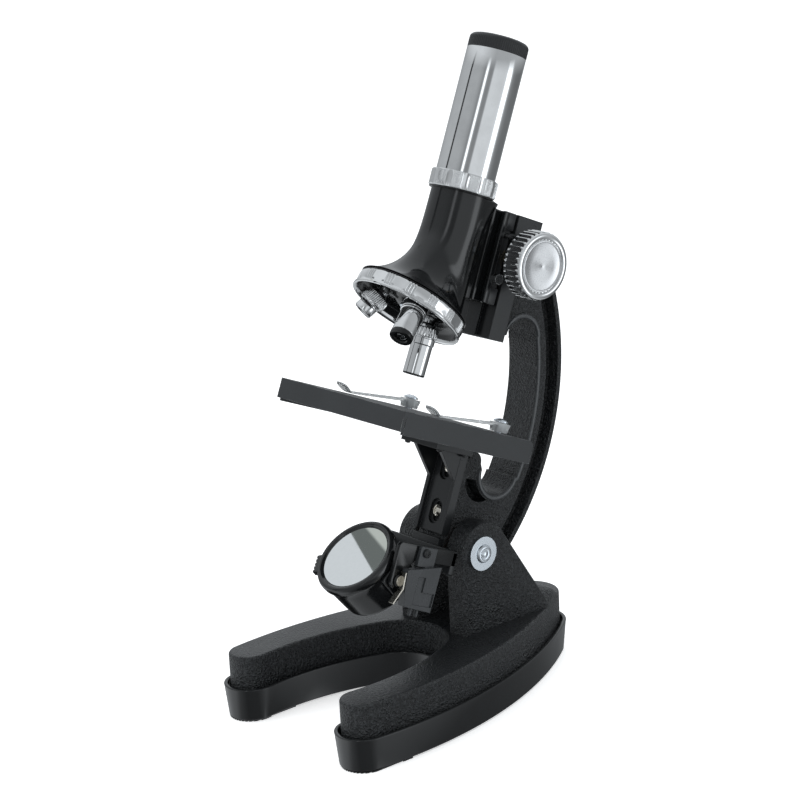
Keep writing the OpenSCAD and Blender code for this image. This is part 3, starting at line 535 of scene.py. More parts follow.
def base_pieces():
    wall = [(DECK_INSET, 4.0), (DECK_INSET, RIM_Z - 1)]
    wall += [(DECK_INSET + inset, DECK_Z - drop) for inset, drop in round_edge(1.1)]
    skin("casting_deck", [at_height(plan(d), z) for d, z in wall], BASE, "base", "cast_paint",
         ["base_casting"])

    # The tray draws in towards the foot, and its rim stands clear of the casting
    rim = [
        (2.6, FOOT_Z), (1.75, FOOT_Z + 0.05), (1.42, FOOT_Z + 0.4), (0.1, RIM_Z - 0.7),
        (0.0, RIM_Z - 0.4),
        (0.12, RIM_Z - 0.1), (0.4, RIM_Z), (1.2, RIM_Z), (1.45, RIM_Z - 0.12), (1.55, RIM_Z - 0.4),
        (1.55, RIM_Z - 4),
    ]
    skin("tray_skirt", [at_height(plan(d), z) for d, z in rim], BASE, "base", "gloss_black",
         ["base_tray"])

    # Cheeks that carry the pivot
    top_y, top_r = 1.5, 12.4
    back = (33.4, 32.3)
    lean = degrees(asin(top_r / hypot(back[0] - top_y, back[1] - PIVOT_Z)))
    heading = degrees(atan2(PIVOT_Z - back[1], top_y - back[0]))
    tangent = heading - lean - 90
    outline = [(36.2, DECK_Z - 1)] + arc(33.6, 29.8, 2.6, -5, tangent, 5)
    outline += arc(top_y, PIVOT_Z, top_r, tangent, 180, 26) + [(top_y - top_r, PIVOT_Z),
                                                               (top_y - top_r, DECK_Z - 1)]
    for side, name in ((1, "cheek_right"), (-1, "cheek_left")):
        lo, hi = sorted((side * CHEEK_IN, side * CHEEK_X))
        plate(name, outline, lo, hi, 0.8, ACROSS, "base", "cast_paint")

    # Rounded back between the cheeks, falling over its border and skirted into the deck
    steps = 48
    half = CHEEK_X - 0.1
    fall = 2.6
    grid = []
    for i in range(steps + 1):
        y = 24.0 + 29.0 * i / steps
        row = []
        reach = min(half, plan_half_width(y))
        for j in range(steps + 1):
            x = reach * sin(pi / 2 * (2 * j / steps - 1))
            long_way = 8.6 + sqrt(max(28.5 ** 2 - (y - 29.5) ** 2, 0.0))
            cross_way = 9.2 + sqrt(28.0 ** 2 - x ** 2)
            gap = long_way - cross_way
            top = 0.5 * (long_way + cross_way - sqrt(gap * gap + 5.0))
            near = min(reach - abs(x), fall)
            row.append((x, y, top - (fall - sqrt(fall ** 2 - (fall - near) ** 2)) * 0.75))
        grid.append([(-reach, y, DECK_Z - 1.5)] + row + [(reach, y, DECK_Z - 1.5)])
    verts = [p for row in grid for p in row]
    wide = steps + 3
    faces = [
        (i * wide + j, i * wide + j + 1, (i + 1) * wide + j + 1, (i + 1) * wide + j)
        for i in range(steps) for j in range(wide - 1)
    ]
    piece("casting_back", verts, faces, "base", "cast_paint")

    # Pivot: a domed rivet that holds a flat washer
    for side, name in ((1, "rivet_right"), (-1, "rivet_left")):
        place = move(0, 0, PIVOT_Z) @ Matrix.Rotation(side * pi / 2, 4, "Y")
        head = [
            (3.9, CHEEK_X + 0.9), (3.9, CHEEK_X + 1.15), (3.6, CHEEK_X + 1.7), (3.1, CHEEK_X + 2.05),
            (2.6, CHEEK_X + 2.1),
            (2.3, CHEEK_X + 1.85), (1.9, CHEEK_X + 1.8), (1.2, CHEEK_X + 2.2), (0.5, CHEEK_X + 2.35),
            (0.05, CHEEK_X + 2.4),
        ]
        lathe(name, head, place, "base", "zinc_steel", ["pivot_bolt"] if side > 0 else (), steps=64)


base_pieces()

# ---------- arm ----------

ARM_SIDE = 8.25
LOW_HOLE = (9.2, 32.8, 9.4)
TOP_HOLE = (3.0, 88.7, 8.8)
INNER_ARC = (-77.5, 48.0, 98.5)


def arm_rims():
    """Raised beads that follow the edge of the arm's long opening on both faces."""
    out = 1.15
    ay, az, ar = INNER_ARC
    high = degrees(asin((TOP_HOLE[1] - az) / ar)) + 1.5
    low = degrees(asin((LOW_HOLE[1] - az) / ar)) - 1.0
    path = arc(TOP_HOLE[0], TOP_HOLE[1], TOP_HOLE[2] + out, 165, 12, 20)
    path += arc(ay, az, ar + out, high, low, 48)
    path += arc(LOW_HOLE[0], LOW_HOLE[1], LOW_HOLE[2] + out, -6, -186, 26)
    section = [(-1.0, -0.15), (-0.9, 0.3), (-0.6, 0.65), (0.0, 0.8), (0.6, 0.65), (0.9, 0.3),
               (1.0, -0.15)]
    for side, name in ((1, "arm_bead_right"), (-1, "arm_bead_left")):
        loops = []
        for i, p in enumerate(path):
            here = Vector(p)
            before = Vector(path[max(i - 1, 0)])
            after = Vector(path[min(i + 1, len(path) - 1)])
            along = (after - before).normalized()
            across = Vector((-along.y, along.x))
            fade = min(1.0, 0.25 + i / 5, 0.25 + (len(path) - 1 - i) / 5)
            loops.append([
                (side * (ARM_SIDE + h * fade), here.x + across.x * w * fade, here.y + across.y * w * fade)
                for w, h in section
            ])
        # The beads take the lighter paint: a painted highlight along the bead
        skin(name, loops, ARM, "arm", "cast_paint", material="bead_highlight_paint")


STAGE_TOP = 49.6


def clips():
    """Clear slide clips: a flared cup round the post, a thin tapering arm and an upturned leaf."""
    for side, suffix in ((1, "right"), (-1, "left")):
        at = ARM.inverted() @ joint_point(suffix + "_clip_swing")
        place = ARM @ move(at.x, at.y, STAGE_TOP)
        body = suffix + "_clip"
        cup = [
            (2.1, 0.35), (3.4, 0.32), (3.6, 0.5), (3.95, 2.2), (4.32, 3.8), (4.25, 4.02), (3.9, 4.05),
            (3.75, 3.9),
            (3.3, 2.0), (3.0, 1.1), (2.1, 1.0), (2.1, 0.35),
        ]
        lathe("clip_cup_" + suffix, cup, place, body, "clear_clip", ["clip_" + suffix], steps=96,
              start=False, end=False)
        lathe("clip_post_" + suffix, [(1.6, 0.3), (1.75, 0.5), (1.75, 3.9), (2.2, 4.1), (2.2, 4.25)],
              place, body,
              "clear_clip", steps=48, start=False, end=False)
        # Distance from the post, half width, height of the middle, half thickness
        spine = [
            (-2.6, 2.0, 3.2, 0.55), (-5.0, 2.5, 3.05, 0.5), (-14.0, 2.15, 2.35, 0.5),
            (-26.0, 1.75, 1.4, 0.45),
            (-32.5, 1.7, 0.95, 0.42), (-34.6, 2.0, 0.95, 0.42), (-35.8, 2.5, 1.3, 0.42),
            (-37.0, 2.85, 1.95, 0.42),
            (-38.4, 2.95, 2.7, 0.42), (-39.6, 2.6, 3.25, 0.4), (-40.5, 1.8, 3.62, 0.36),
            (-40.9, 0.7, 3.8, 0.2),
        ]
        loops = []
        for y, half, middle, thick in spine:
            loops.append([(x, y, middle + z) for x, z in round_rect(-half, half, -thick, thick,
                                                                    thick * 0.8, 4)])
        skin("clip_arm_" + suffix, loops, place, body, "clear_clip")


YOKE_X = (18.6, 20.6)
HINGE_Y, HINGE_Z = -42.5, -16.6
# Lays a front view, drawn as X and Z, so that it is extruded along Y
FACING = Matrix(((1, 0, 0, 0), (0, 0, 1, 0), (0, 1, 0, 0), (0, 0, 0, 1)))


def yoke():
    """The lamp's bracket: a cross strip with two arms, each with an open eye for the drum's pin."""
    eye = arc(HINGE_Y, HINGE_Z, 4.0, 180, 250, 8) + arc(HINGE_Y, HINGE_Z, 2.62, 250, -70, 28)
    eye += arc(HINGE_Y, HINGE_Z, 4.0, 290, 360, 8)
    arms = (
        ("yoke_arm_right", 1, [(-14.0, -7.6), (-14.0, -1.3), (-45.4, -1.3), (-46.5, -2.8)],
         [(-38.5, -10.2), (-36.0, -7.6)]),
        ("yoke_arm_left", -1, [(-14.0, -9.6), (-14.0, -3.0), (-24.0, -4.4), (-44.6, -13.2)],
         [(-37.8, -14.4), (-30.0, -9.6)]),
    )
    for name, side, head, tail in arms:
        lo, hi = sorted((side * YOKE_X[0], side * YOKE_X[1]))
        plate(name, head + eye + tail, lo, hi, 0.3, ARM @ ACROSS, "arm", "satin_black",
              ["lamp_yoke"] if side > 0 else (), "ink_black")
    plate("yoke_cross", round_rect(-20.6, 20.6, -11.4, -1.3, 0.8), -16.5, -14.0, 0.35, ARM @ FACING,
          "arm", "satin_black")
    plate("yoke_seat", round_rect(-7.8, 7.8, -11.4, 1.6, 0.6), -14.3, -11.2, 0.3, ARM @ FACING, "arm",
          "satin_black")


arm_rims()
clips()
yoke()

# ---------- body tube ----------

NECK_R = 12.0
NECK_FOOT_Z = 108.0
BELL_U = 7.3
FLARE_U, FLARE_CR, FLARE_R = 28.0, 33.6, 23.0
RING_LO, RING_HI = 139.4, 146.5
CAP_Z = 197.0
EYE_TOP = 203.0


def flare(u):
    """Outer radius of the bell at a height along the turret's axis."""
    u = min(max(u, BELL_U), FLARE_U)
    return FLARE_CR - sqrt(FLARE_R ** 2 - (FLARE_U - u) ** 2)


def soft_max(a, b, k):
    return 0.5 * (a + b + sqrt((a - b) ** 2 + k * k))


def bell_radius(centre, direction):
    """How far the bell's skin is from a point on its spine, measured along a direction."""
    into = TURRET.inverted() @ ARM
    lo, hi = 4.0, 40.0
    for _ in range(28):
        mid = 0.5 * (lo + hi)
        p = into @ (centre + direction * mid)
        if hypot(p.x, p.y) < flare(p.z):
            lo = mid
        else:
            hi = mid
    flat = Vector((direction.x, direction.y))
    a = flat.length_squared
    offset = Vector((centre.x, centre.y - OPTIC_Y))
    b = offset.dot(flat)
    c = offset.length_squared - NECK_R ** 2
    neck = (-b + sqrt(max(b * b - a * c, 0.0))) / a
    return soft_max(lo, neck, 1.8)


def bell():
    tilt = degrees(acos(max(-1.0, min(1.0, joint_axis("turret_turn").dot(joint_axis("focus_slide"))))))
    foot = ARM.inverted() @ (TURRET @ Vector((0, 0, BELL_U)))
    top = Vector((0, OPTIC_Y, RING_LO + 0.6))
    joint_at = Vector((0, OPTIC_Y, NECK_FOOT_Z))
    steps, around = 60, 160
    loops = []
    for i in range(steps + 1):
        t = i / steps
        if t < 0.6:
            s = t / 0.6
            centre = foot.lerp(joint_at, s)
            lean = tilt * (1 - s * s * (3 - 2 * s))
        else:
            centre = joint_at.lerp(top, (t - 0.6) / 0.4)
            lean = 0.0
        turn = Matrix.Rotation(-radians(lean), 3, "X")
        loop = []
        for j in range(around):
            a = 2 * pi * j / around
            direction = turn @ Vector((cos(a), sin(a), 0))
            if i == 0:
                r = flare(BELL_U)
            elif t >= 0.999:
                r = NECK_R
            else:
                r = bell_radius(centre, direction)
            loop.append(centre + direction * r)
        loops.append(loop)
    middle = sum(loops[0], Vector()) / around
    lip = [middle + (p - middle) * 0.9 for p in loops[0]]
    skin("bell_and_neck", [lip] + loops, ARM, "tube", "gloss_black", ["tube_housing"])


SLIDE_LO, SLIDE_HI = 98.8, 137.0


def carriage():
    """The slide behind the neck: a web, a ribbed block with raised end pads, and a bright front edge."""
    web = round_rect(-6.6, 6.6, -37, -24, 0.5)
    skin("carriage_web", [[(x, y, z) for x, y in shrink(web, d)] for z, d in
                          ((SLIDE_LO, 0.5), (99.3, 0.0), (136.5, 0.0), (SLIDE_HI, 0.5))],
         ARM, "tube", "gloss_black")
    # Each entry is a height and how far the flank is let in at that height
    flank = [(SLIDE_LO, 0.6), (99.1, 0.2), (99.5, 0.0), (105.2, 0.0), (105.6, 0.15), (106.0, 1.1),
             (129.6, 1.1), (130.0, 0.15),
             (130.4, 0.0), (136.4, 0.0), (136.8, 0.2), (SLIDE_HI, 0.6)]
    block = [[(x, y, z) for x, y in round_rect(-10.5 + d, 10.5 - d, -23.4, -18.9, 0.5)] for z, d in flank]
    skin("carriage_block", block, ARM, "tube", "gloss_black", material="satin_black")
    for side, name in ((1, "carriage_rib_right"), (-1, "carriage_rib_left")):
        lo, hi = sorted((side * 8.4, side * 10.5))
        rib = round_rect(lo, hi, -25.6, -23.0, 0.55)
        skin(name, [[(x, y, z) for x, y in shrink(rib, d)] for z, d in
                    ((SLIDE_LO, 0.45), (99.2, 0.0), (136.6, 0.0), (SLIDE_HI, 0.45))],
             ARM, "tube", "gloss_black")
    for side, name in ((1, "carriage_lip_right"), (-1, "carriage_lip_left")):
        lo, hi = sorted((side * 6.2, side * 7.6))
        lip = round_rect(lo, hi, -29.4, -27.6, 0.4)
        skin(name, [[(x, y, z) for x, y in shrink(lip, d)] for z, d in
                    ((SLIDE_LO, 0.35), (99.2, 0.0), (136.6, 0.0), (SLIDE_HI, 0.35))],
             ARM, "tube", "gloss_black")


def coin_relief(z, a):
    """Twelve knurled pads between smooth flats, as on the ring's edge."""
    if not RING_LO + 0.5 < z < RING_HI - 0.3:
        return 0.0
    sector = (degrees(a) + 4) % 30
    if sector < 18.5:
        return 0.12 + 0.1 * sin(2 * pi * sector / 1.85)
    return -0.28 * sin(pi * (sector - 18.5) / 11.5)


def tube_pieces():
    coin = [
        (11.4, RING_LO + 0.02), (13.2, RING_LO + 0.02), (13.5, RING_LO + 0.25), (13.55, RING_LO + 0.6),
        (13.55, RING_LO + 2.5), (13.55, RING_HI - 2), (13.55, RING_HI - 0.5), (13.3, RING_HI - 0.1),
        (12.9, RING_HI),
        (12.2, RING_HI),
    ]
    lathe("coin_edge", coin, OPTIC, "tube", "chrome", ["coin_ring"], steps=1152, relief=coin_relief)
    # Dark gasket that shows as a line beneath the ring
    lathe("neck_gasket", [(11.5, RING_LO - 0.5), (13.2, RING_LO - 0.45), (13.35, RING_LO - 0.2),
                          (13.2, RING_LO + 0.01), (11.5, RING_LO + 0.01)],
          OPTIC, "tube", "gloss_black", material="ink_black")
    lathe("tube_skin", [(12.15, RING_HI - 1.5), (12.15, RING_HI + 10), (12.15, CAP_Z - 10),
                        (12.15, CAP_Z - 0.3), (12.0, CAP_Z)],
          OPTIC, "tube", "chrome", ["draw_tube"], steps=192)
    cap = [
        (10.5, CAP_Z - 0.02), (12.0, CAP_Z), (12.18, CAP_Z + 0.2), (12.18, CAP_Z + 0.8),
        (12.18, CAP_Z + 3.6),
        (12.1, CAP_Z + 4.5), (11.7, CAP_Z + 5.2), (11.0, CAP_Z + 5.7), (10.0, EYE_TOP), (8.4, EYE_TOP),
        (7.7, EYE_TOP - 0.5), (7.55, EYE_TOP - 1.2), (7.5, EYE_TOP - 2.3), (5.6, EYE_TOP - 2.4),
        (5.5, CAP_Z + 0.5),
    ]

    def ribs(z, a):
        return -0.2 * max(0.0, cos(84 * a)) if CAP_Z + 0.5 < z < CAP_Z + 4.2 else 0.0

    lathe("eyepiece_cap", cap, OPTIC, "tube", "satin_black", ["eyepiece"], steps=840, relief=ribs,
          end=False)


bell()
carriage()
tube_pieces()

# ---------- turret ----------


def coin_groups(z, a):
    """Three narrow grooves to a group, fifteen groups, with wide flats between."""
    if not 1.9 < z < 5.9:
        return 0.0
    sector = (degrees(a) + 3) % 24
    if sector < 9.0:
        return -0.6 * (0.5 - 0.5 * cos(2 * pi * sector / 3.0))
    return -0.3 * sin(pi * (sector - 9.0) / 15.0)


def turret_pieces():
    ring = [
        (22.3, 1.9), (22.45, 0.9), (22.8, 0.3), (23.3, 0.02), (23.75, 0.15), (23.98, 0.6), (23.9, 1.15),
        (23.55, 1.5),
        (23.45, 1.7), (23.65, 1.95), (23.72, 2.6), (23.78, 4.0), (23.72, 5.2), (23.6, 5.85), (23.2, 6.2),
        (22.6, 6.3),
        (22.4, 6.3),
    ]
    lathe("turret_coin", ring, TURRET, "turret", "chrome", ["turret_ring"], steps=1440,
          relief=coin_groups,
          start=False, end=False)
    lathe("turret_lip", [(21.5, 6.25), (23.0, 6.3), (23.3, 6.5), (23.2, 6.8), (22.9, 6.88), (21.5, 6.88)],
          TURRET, "turret", "gloss_black", material="ink_black", steps=160)
    dish = [
        (22.5, 1.6), (21.8, 3.4), (20.4, 4.6), (18.0, 5.1), (13.0, 4.7), (8.0, 3.9), (6.4, 3.6),
        (5.2, 2.8), (4.4, 2.66),
        (2.05, 2.65),
    ]
    lathe("turret_underside", dish, TURRET, "turret", "gloss_black", ["turret_dish"], steps=160,
          start=False)


def knurl(count, depth, lo, hi):
    def relief(z, a):
        return -depth * (0.5 - 0.5 * cos(count * a)) if lo < z < hi else 0.0
    return relief


def end_face(r, length):
    """Rounded end of an objective with the recess its lens sits in."""
    return [(r, length - 0.5), (r - 0.12, length - 0.18), (r - 0.45, length), (2.9, length),
            (2.5, length - 0.4), (2.46, length - 1.4)]


def objectives():
    neck = [(2.55, -3.0), (2.55, -0.6), (3.2, 0.2)]

    place = objective_frame(0)
    long_end = 21.3
    long_body = neck + [(3.3, 1.2), (5.0, 1.5), (5.25, 1.8), (5.25, 3.4), (5.25, 4.9), (5.0, 5.2),
                        (4.55, 5.35), (4.55, 5.7),
                        (4.85, 5.9), (4.85, 8.3), (4.5, 8.7), (4.5, 14.0)] + end_face(4.5, long_end)
    lathe("objective_high", long_body, place, "turret", "chrome", ["objective_long"], steps=288,
          relief=knurl(24, 0.4, 1.7, 5.0), start=False, end=False)
    lathe("objective_high_foot", [(4.3, long_end - 0.75), (4.52, long_end - 0.7), (4.53, long_end - 0.3),
                                  (4.4, long_end - 0.2)],
          place, "turret", "gloss_black", material="ink_black", steps=96, start=False, end=False)

    place = objective_frame(1)
    mid_end = 18.5
    mid_top = neck + [(4.4, 0.6), (5.3, 0.8), (5.45, 1.0), (5.45, 1.6), (5.3, 1.8), (5.0, 1.9)]
    lathe("objective_mid_flange", mid_top, place, "turret", "chrome", ["objective_medium"], steps=384,
          relief=knurl(48, 0.25, 0.7, 1.7), start=False, end=False)
    lathe("objective_mid_band", [(4.9, 1.8), (5.15, 1.9), (5.15, 4.2), (4.9, 4.35)],
          place, "turret", "gloss_black", material="ink_black", steps=96, start=False, end=False)
    mid_body = [(4.9, 4.3), (5.15, 4.4), (5.2, 4.8), (4.95, 5.05), (4.95, 5.15), (5.12, 5.3),
                (5.12, 5.8), (4.75, 6.0),
                (4.7, 6.3), (4.7, 11.0), (4.7, 16.4), (4.5, 16.6)]
    lathe("objective_mid_body", mid_body, place, "turret", "chrome", steps=128, start=False, end=False)
    lathe("objective_mid_nose", [(4.6, 16.5), (4.75, 16.7)] + end_face(4.75, mid_end),
          place, "turret", "gloss_black", material="ink_black", steps=96, start=False, end=False)

    place = objective_frame(2)
    low_end = 10.1
    low_body = neck + [(3.6, 0.9), (5.2, 1.1), (5.4, 1.4), (5.4, 3.0), (5.4, 4.6), (5.2, 4.9),
                       (4.5, 5.0), (4.4, 5.25),
                       (4.4, 5.7), (4.0, 5.9), (4.0, 6.3), (4.1, 6.5)] + end_face(4.1, low_end)
    lathe("objective_low", low_body, place, "turret", "chrome", ["objective_short"], steps=480,
          relief=knurl(40, 0.32, 1.2, 4.8), start=False, end=False)
    lathe("objective_low_foot", [(3.6, low_end + 0.01), (3.2, low_end + 0.02), (2.7, low_end - 0.1)],
          place, "turret", "gloss_black", material="ink_black", steps=96, start=False, end=False)


turret_pieces()
objectives()

# ---------- focus knobs ----------

KNOB_BACK, KNOB_FACE = 19.6, 29.0


def knob(side, suffix):
    place = KNOB if side > 0 else KNOB @ Matrix.Diagonal((1, 1, -1, 1))

    def flutes(z, a):
        if not KNOB_BACK + 0.2 < z < KNOB_FACE - 0.9:
            return 0.0
        return -1.15 * (0.5 - 0.5 * cos(36 * a)) ** 1.4

    rim = [
        (6.0, KNOB_BACK - 1.2), (6.0, KNOB_BACK), (12.4, KNOB_BACK), (13.3, KNOB_BACK + 0.15),
        (13.9, KNOB_BACK + 0.6),
        (13.95, KNOB_BACK + 1.2), (13.95, KNOB_FACE - 2.4), (13.95, KNOB_FACE - 1.4),
        (13.7, KNOB_FACE - 0.95),
        (13.55, KNOB_FACE - 0.75), (13.3, KNOB_FACE - 0.3), (12.9, KNOB_FACE - 0.08), (12.3, KNOB_FACE),
        (11.6, KNOB_FACE),
        (11.3, KNOB_FACE - 0.1), (11.1, KNOB_FACE - 0.4), (11.0, KNOB_FACE - 0.9),
        (10.2, KNOB_FACE - 0.95),
    ]
    lathe("knob_rim_" + suffix, rim, place, "focus_drive", "chrome", ["knob_" + suffix], steps=1080,
          relief=flutes,
          end=False)
    face = [
        (10.6, KNOB_FACE - 1.3), (10.5, KNOB_FACE - 0.6), (10.3, KNOB_FACE - 0.42),
        (9.9, KNOB_FACE - 0.4), (9.7, KNOB_FACE - 0.55),
        (9.5, KNOB_FACE - 0.6), (6.0, KNOB_FACE - 0.62), (2.0, KNOB_FACE - 0.62),
        (0.3, KNOB_FACE - 0.66), (0.02, KNOB_FACE - 0.7),
    ]
    lathe("knob_face_" + suffix, face, place, "focus_drive", "spun_aluminium", ["knob_disc_" + suffix],
          steps=192)


knob(1, "right")
knob(-1, "left")

# ---------- lamp drum ----------

TAB_BEARING = 206.6


def drum_pieces():
    shell = [
        (11.0, -11.2), (14.6, -11.2), (15.4, -11.0), (15.8, -10.5), (15.95, -9.5), (16.75, 1.5),
        (16.95, 4.0), (17.2, 4.5),
        (17.6, 4.8), (17.8, 5.3), (17.87, 6.2), (17.85, 7.3), (17.6, 8.1), (17.1, 8.6), (16.5, 8.78),
        (15.9, 8.7),
        (15.6, 8.5), (15.35, 8.2), (14.85, 7.8), (14.62, 7.72), (14.6, 7.0),
    ]
    lathe("drum_case", shell, DRUM, "drum", "gloss_black", ["drum_shell"], steps=192, start=False,
          end=False)
    lathe("drum_back_wall", [(15.0, -10.9), (11.4, -10.9), (11.0, -11.1), (10.9, -10.4)], DRUM, "drum",
          "gloss_black",
          steps=96, start=False, end=False)
    # Bosses that the trunnions grow from
    for side, name in ((1, "drum_boss_right"), (-1, "drum_boss_left")):
        lo, hi = sorted((side * 14.5, side * (18.3 if side > 0 else 16.6)))
        boss = round_rect(-4.6, 4.6, -6.2, 4.2 if side > 0 else 0.0, 1.0)
        place = DRUM @ ACROSS
        plate(name, [(y, z) for y, z in boss], lo, hi, 0.5, place, "drum", "gloss_black")
        pin = DRUM @ Matrix.Rotation(side * pi / 2, 4, "Y")
        lathe(name + "_pin", [(3.4, 17), (3.4, 18.2), (3.2, 18.4), (2.5, 18.45), (2.5, 21.0),
                              (2.3, 21.2)], pin, "drum",
              "gloss_black", steps=48)
    # Serrated thumb tab on the rim
    turn = DRUM @ turn_z(TAB_BEARING)
    tab = [(15.8, -4.3), (19.0, -4.3)]
    for i in range(5):
        y = -3.6 + 1.8 * i
        tab += [(19.7, y - 0.55), (19.7, y + 0.55), (19.1, y + 0.65), (19.1, y + 1.1)]
    tab = [p for p in tab if p[1] <= 4.3] + [(19.0, 4.3), (15.8, 4.3)]
    plate("drum_tab", tab, 5.3, 7.8, 0.2, turn, "drum", "gloss_black")


drum_pieces()

# ---------- floor, light and camera ----------

FLOOR_GLOW = 0.55
FLOOR_HALF = 12.0
OVERHEAD_WATTS = 15
KEY_WATTS = 5


def floor():
    corners = [(-FLOOR_HALF, -FLOOR_HALF, 0), (FLOOR_HALF, -FLOOR_HALF, 0), (FLOOR_HALF, FLOOR_HALF, 0),
               (-FLOOR_HALF, FLOOR_HALF, 0)]
    mesh = bpy.data.meshes.new("floor")
    mesh.from_pydata(corners, [], [(0, 1, 2, 3)])
    m, n, s, place = start("floor_white")
    n.feed(s.inputs["Base Color"], n.blend(n.noise(place, 3, 2), rgb(0.93, 0.93, 0.93),
                                           rgb(0.95, 0.95, 0.95)))
    s.inputs["Roughness"].default_value = 0.9
    s.inputs["Specular IOR Level"].default_value = 0.1
    s.inputs["Emission Color"].default_value = rgb(1.0, 1.0, 1.0)
    s.inputs["Emission Strength"].default_value = FLOOR_GLOW
    mesh.materials.append(m)
    o = bpy.data.objects.new("floor", mesh)
    o.visible_glossy = False
    o.visible_diffuse = False
    bpy.context.scene.collection.objects.link(o)


def ramp_of(n, factor, levels):
    """A grey ramp from (bearing in degrees, brightness) pairs."""
    node = n.add("ShaderNodeValToRGB")
    node.color_ramp.interpolation = "LINEAR"
    stops = node.color_ramp.elements
    while len(stops) > 1:
        stops.remove(stops[0])
    for i, (bearing, level) in enumerate(levels):
        at = (bearing + 180) / 360
        stop = stops[0] if i == 0 else stops.new(at)
        stop.position = at
        stop.color = rgb(0.955 * level, level, 1.035 * level)
    n.feed(node.inputs["Fac"], factor)
    return node.outputs["Color"]


MIRROR_Z = 7.8


def mirror_view(x, y):
    """Where the camera's ray goes after it meets a point of the drum's mirror."""
    at = DRUM @ Vector((x, y, MIRROR_Z))
    to_camera = (CAMERA_AT - at).normalized()
    normal = (DRUM.to_3x3() @ Vector((0, 0, 1))).normalized()
    return (2 * normal.dot(to_camera) * normal - to_camera).normalized()


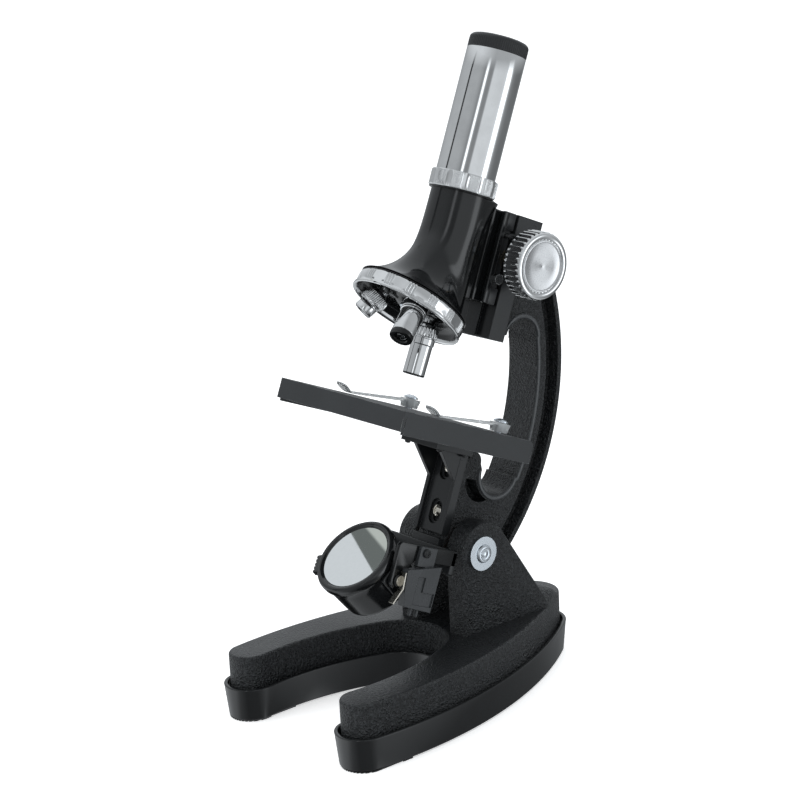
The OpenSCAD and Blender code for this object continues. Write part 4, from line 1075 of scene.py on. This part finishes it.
def world():
    """A plain studio: soft walls that turn about the tube, and a ceiling with one dark panel."""
    w = bpy.data.worlds.new("studio")
    bpy.context.scene.world = w
    w.use_nodes = True
    w.node_tree.nodes.clear()
    n = Nodes(w.node_tree)
    out = n.add("ShaderNodeOutputWorld")
    back = n.add("ShaderNodeBackground")
    n.feed(out.inputs["Surface"], back.outputs["Background"])
    way = n.add("ShaderNodeTexCoord").outputs["Generated"]

    def along(axis):
        dot = n.add("ShaderNodeVectorMath", operation="DOT_PRODUCT")
        n.feed(dot.inputs[0], way)
        dot.inputs[1].default_value = axis
        return dot.outputs["Value"]

    axis = joint_axis("focus_slide")
    front = (CAMERA_BACK - axis * CAMERA_BACK.dot(axis)).normalized()
    right = axis.cross(front)
    turn = n.add("ShaderNodeMath", operation="ARCTAN2")
    n.feed(turn.inputs[0], along(right))
    n.feed(turn.inputs[1], along(front))
    where = n.scale(turn.outputs[0], -pi, pi, 0.0, 1.0)
    # Bearing from the front in degrees, positive to the right, and the brightness there
    walls = ramp_of(n, where, [
        (-180, 0.3), (-130, 0.46), (-89, 0.5), (-87, 0.02), (-82, 0.02), (-80, 0.44), (-45, 0.42),
        (-34, 0.36),
        (-27, 0.27), (-23, 0.32), (-20, 1.5), (-15, 1.5), (-12, 0.33), (-5, 0.25), (4, 0.28), (9, 0.72),
        (50, 0.7),
        (61, 0.74), (64, 1.9), (81, 1.9), (86, 0.5), (93, 0.26), (110, 0.18), (140, 0.16), (180, 0.3),
    ])
    ceiling = ramp_of(n, where, [
        (-180, 0.75), (-150, 0.74), (-60, 0.72), (0, 0.4), (60, 0.45), (120, 0.5), (170, 0.7),
        (180, 0.75),
    ])
    height = along(axis)
    colour = n.blend(n.scale(height, 0.2, 0.42, 0.0, 1.0), walls, ceiling)
    ground = ramp_of(n, where, [
        (-180, 0.5), (-130, 0.9), (-95, 1.0), (-60, 0.5), (0, 0.22), (60, 0.26), (90, 0.6), (140, 0.5),
        (180, 0.5),
    ])
    colour = n.blend(n.scale(height, -0.42, -0.25, 1.0, 0.0), colour, ground)

    # The dark ceiling panel: its two straight sides, as the drum's mirror shows them
    views = [mirror_view(x, y) for x, y in PANEL_SIDES]
    first = views[0].cross(views[1]).normalized()
    second = views[3].cross(views[2]).normalized()
    inside = mirror_view(6.0, 5.0)
    if first.dot(inside) < 0:
        first = -first
    if second.dot(inside) < 0:
        second = -second
    past_first = n.scale(along(first), -0.0002, 0.0002, 0.0, 1.0)
    past_second = n.scale(along(second), 0.0006, -0.0006, 0.0, 1.0)
    near = n.scale(along(inside), cos(radians(5)), cos(radians(4)), 0.0, 1.0)
    panel = n.blend(past_second, rgb(0.155, 0.17, 0.165), rgb(0.52, 0.55, 0.52))
    colour = n.blend(n.math("MULTIPLY", near, past_first), colour, panel)
    n.feed(back.inputs["Color"], colour)
    back.inputs["Strength"].default_value = 1.0


def softbox(name, place, target, size, power):
    """A soft area light that leaves no bright patch in the polished parts."""
    light = bpy.data.lights.new(name, "AREA")
    light.shape = "RECTANGLE"
    light.size, light.size_y = size
    light.energy = power
    o = bpy.data.objects.new(name, light)
    o.location = place
    o.rotation_euler = (Vector(target) - Vector(place)).to_track_quat("-Z", "Y").to_euler()
    o.visible_glossy = False
    bpy.context.scene.collection.objects.link(o)


# Points on the mirror, in its own plane, where the sides of the ceiling's dark panel are seen
PANEL_SIDES = [(-10.56, 8.85), (13.46, -3.26), (-2.43, 12.33), (12.64, 6.7)]

# Camera, from a fit to the object's own sizes
CAMERA_AT = Vector((685.81, -600.01, 381.90))
CAMERA_RIGHT = Vector((0.65346, 0.75544, -0.04790)).normalized()
CAMERA_BACK = Vector((0.73614, -0.61947, 0.27268)).normalized()
LENS, SENSOR = 104.59, 36.0


def camera():
    up = CAMERA_BACK.cross(CAMERA_RIGHT).normalized()
    right = up.cross(CAMERA_BACK)
    data = bpy.data.cameras.new("camera")
    data.lens = LENS
    data.sensor_width = SENSOR
    data.clip_start = 0.05
    o = bpy.data.objects.new("camera", data)
    pose = Matrix((right, up, CAMERA_BACK)).transposed().to_4x4()
    pose.translation = CAMERA_AT * MM
    o.matrix_world = pose
    bpy.context.scene.collection.objects.link(o)
    bpy.context.scene.camera = o


floor()
world()
softbox("overhead", (0.1, 0.0, 1.7), (0, 0, 0), (2.6, 2.6), OVERHEAD_WATTS)
softbox("key_left", (-0.35, -1.5, 1.0), (0, 0, 0.1), (0.8, 0.9), KEY_WATTS)
camera()
bpy.context.scene.view_settings.view_transform = "Standard"
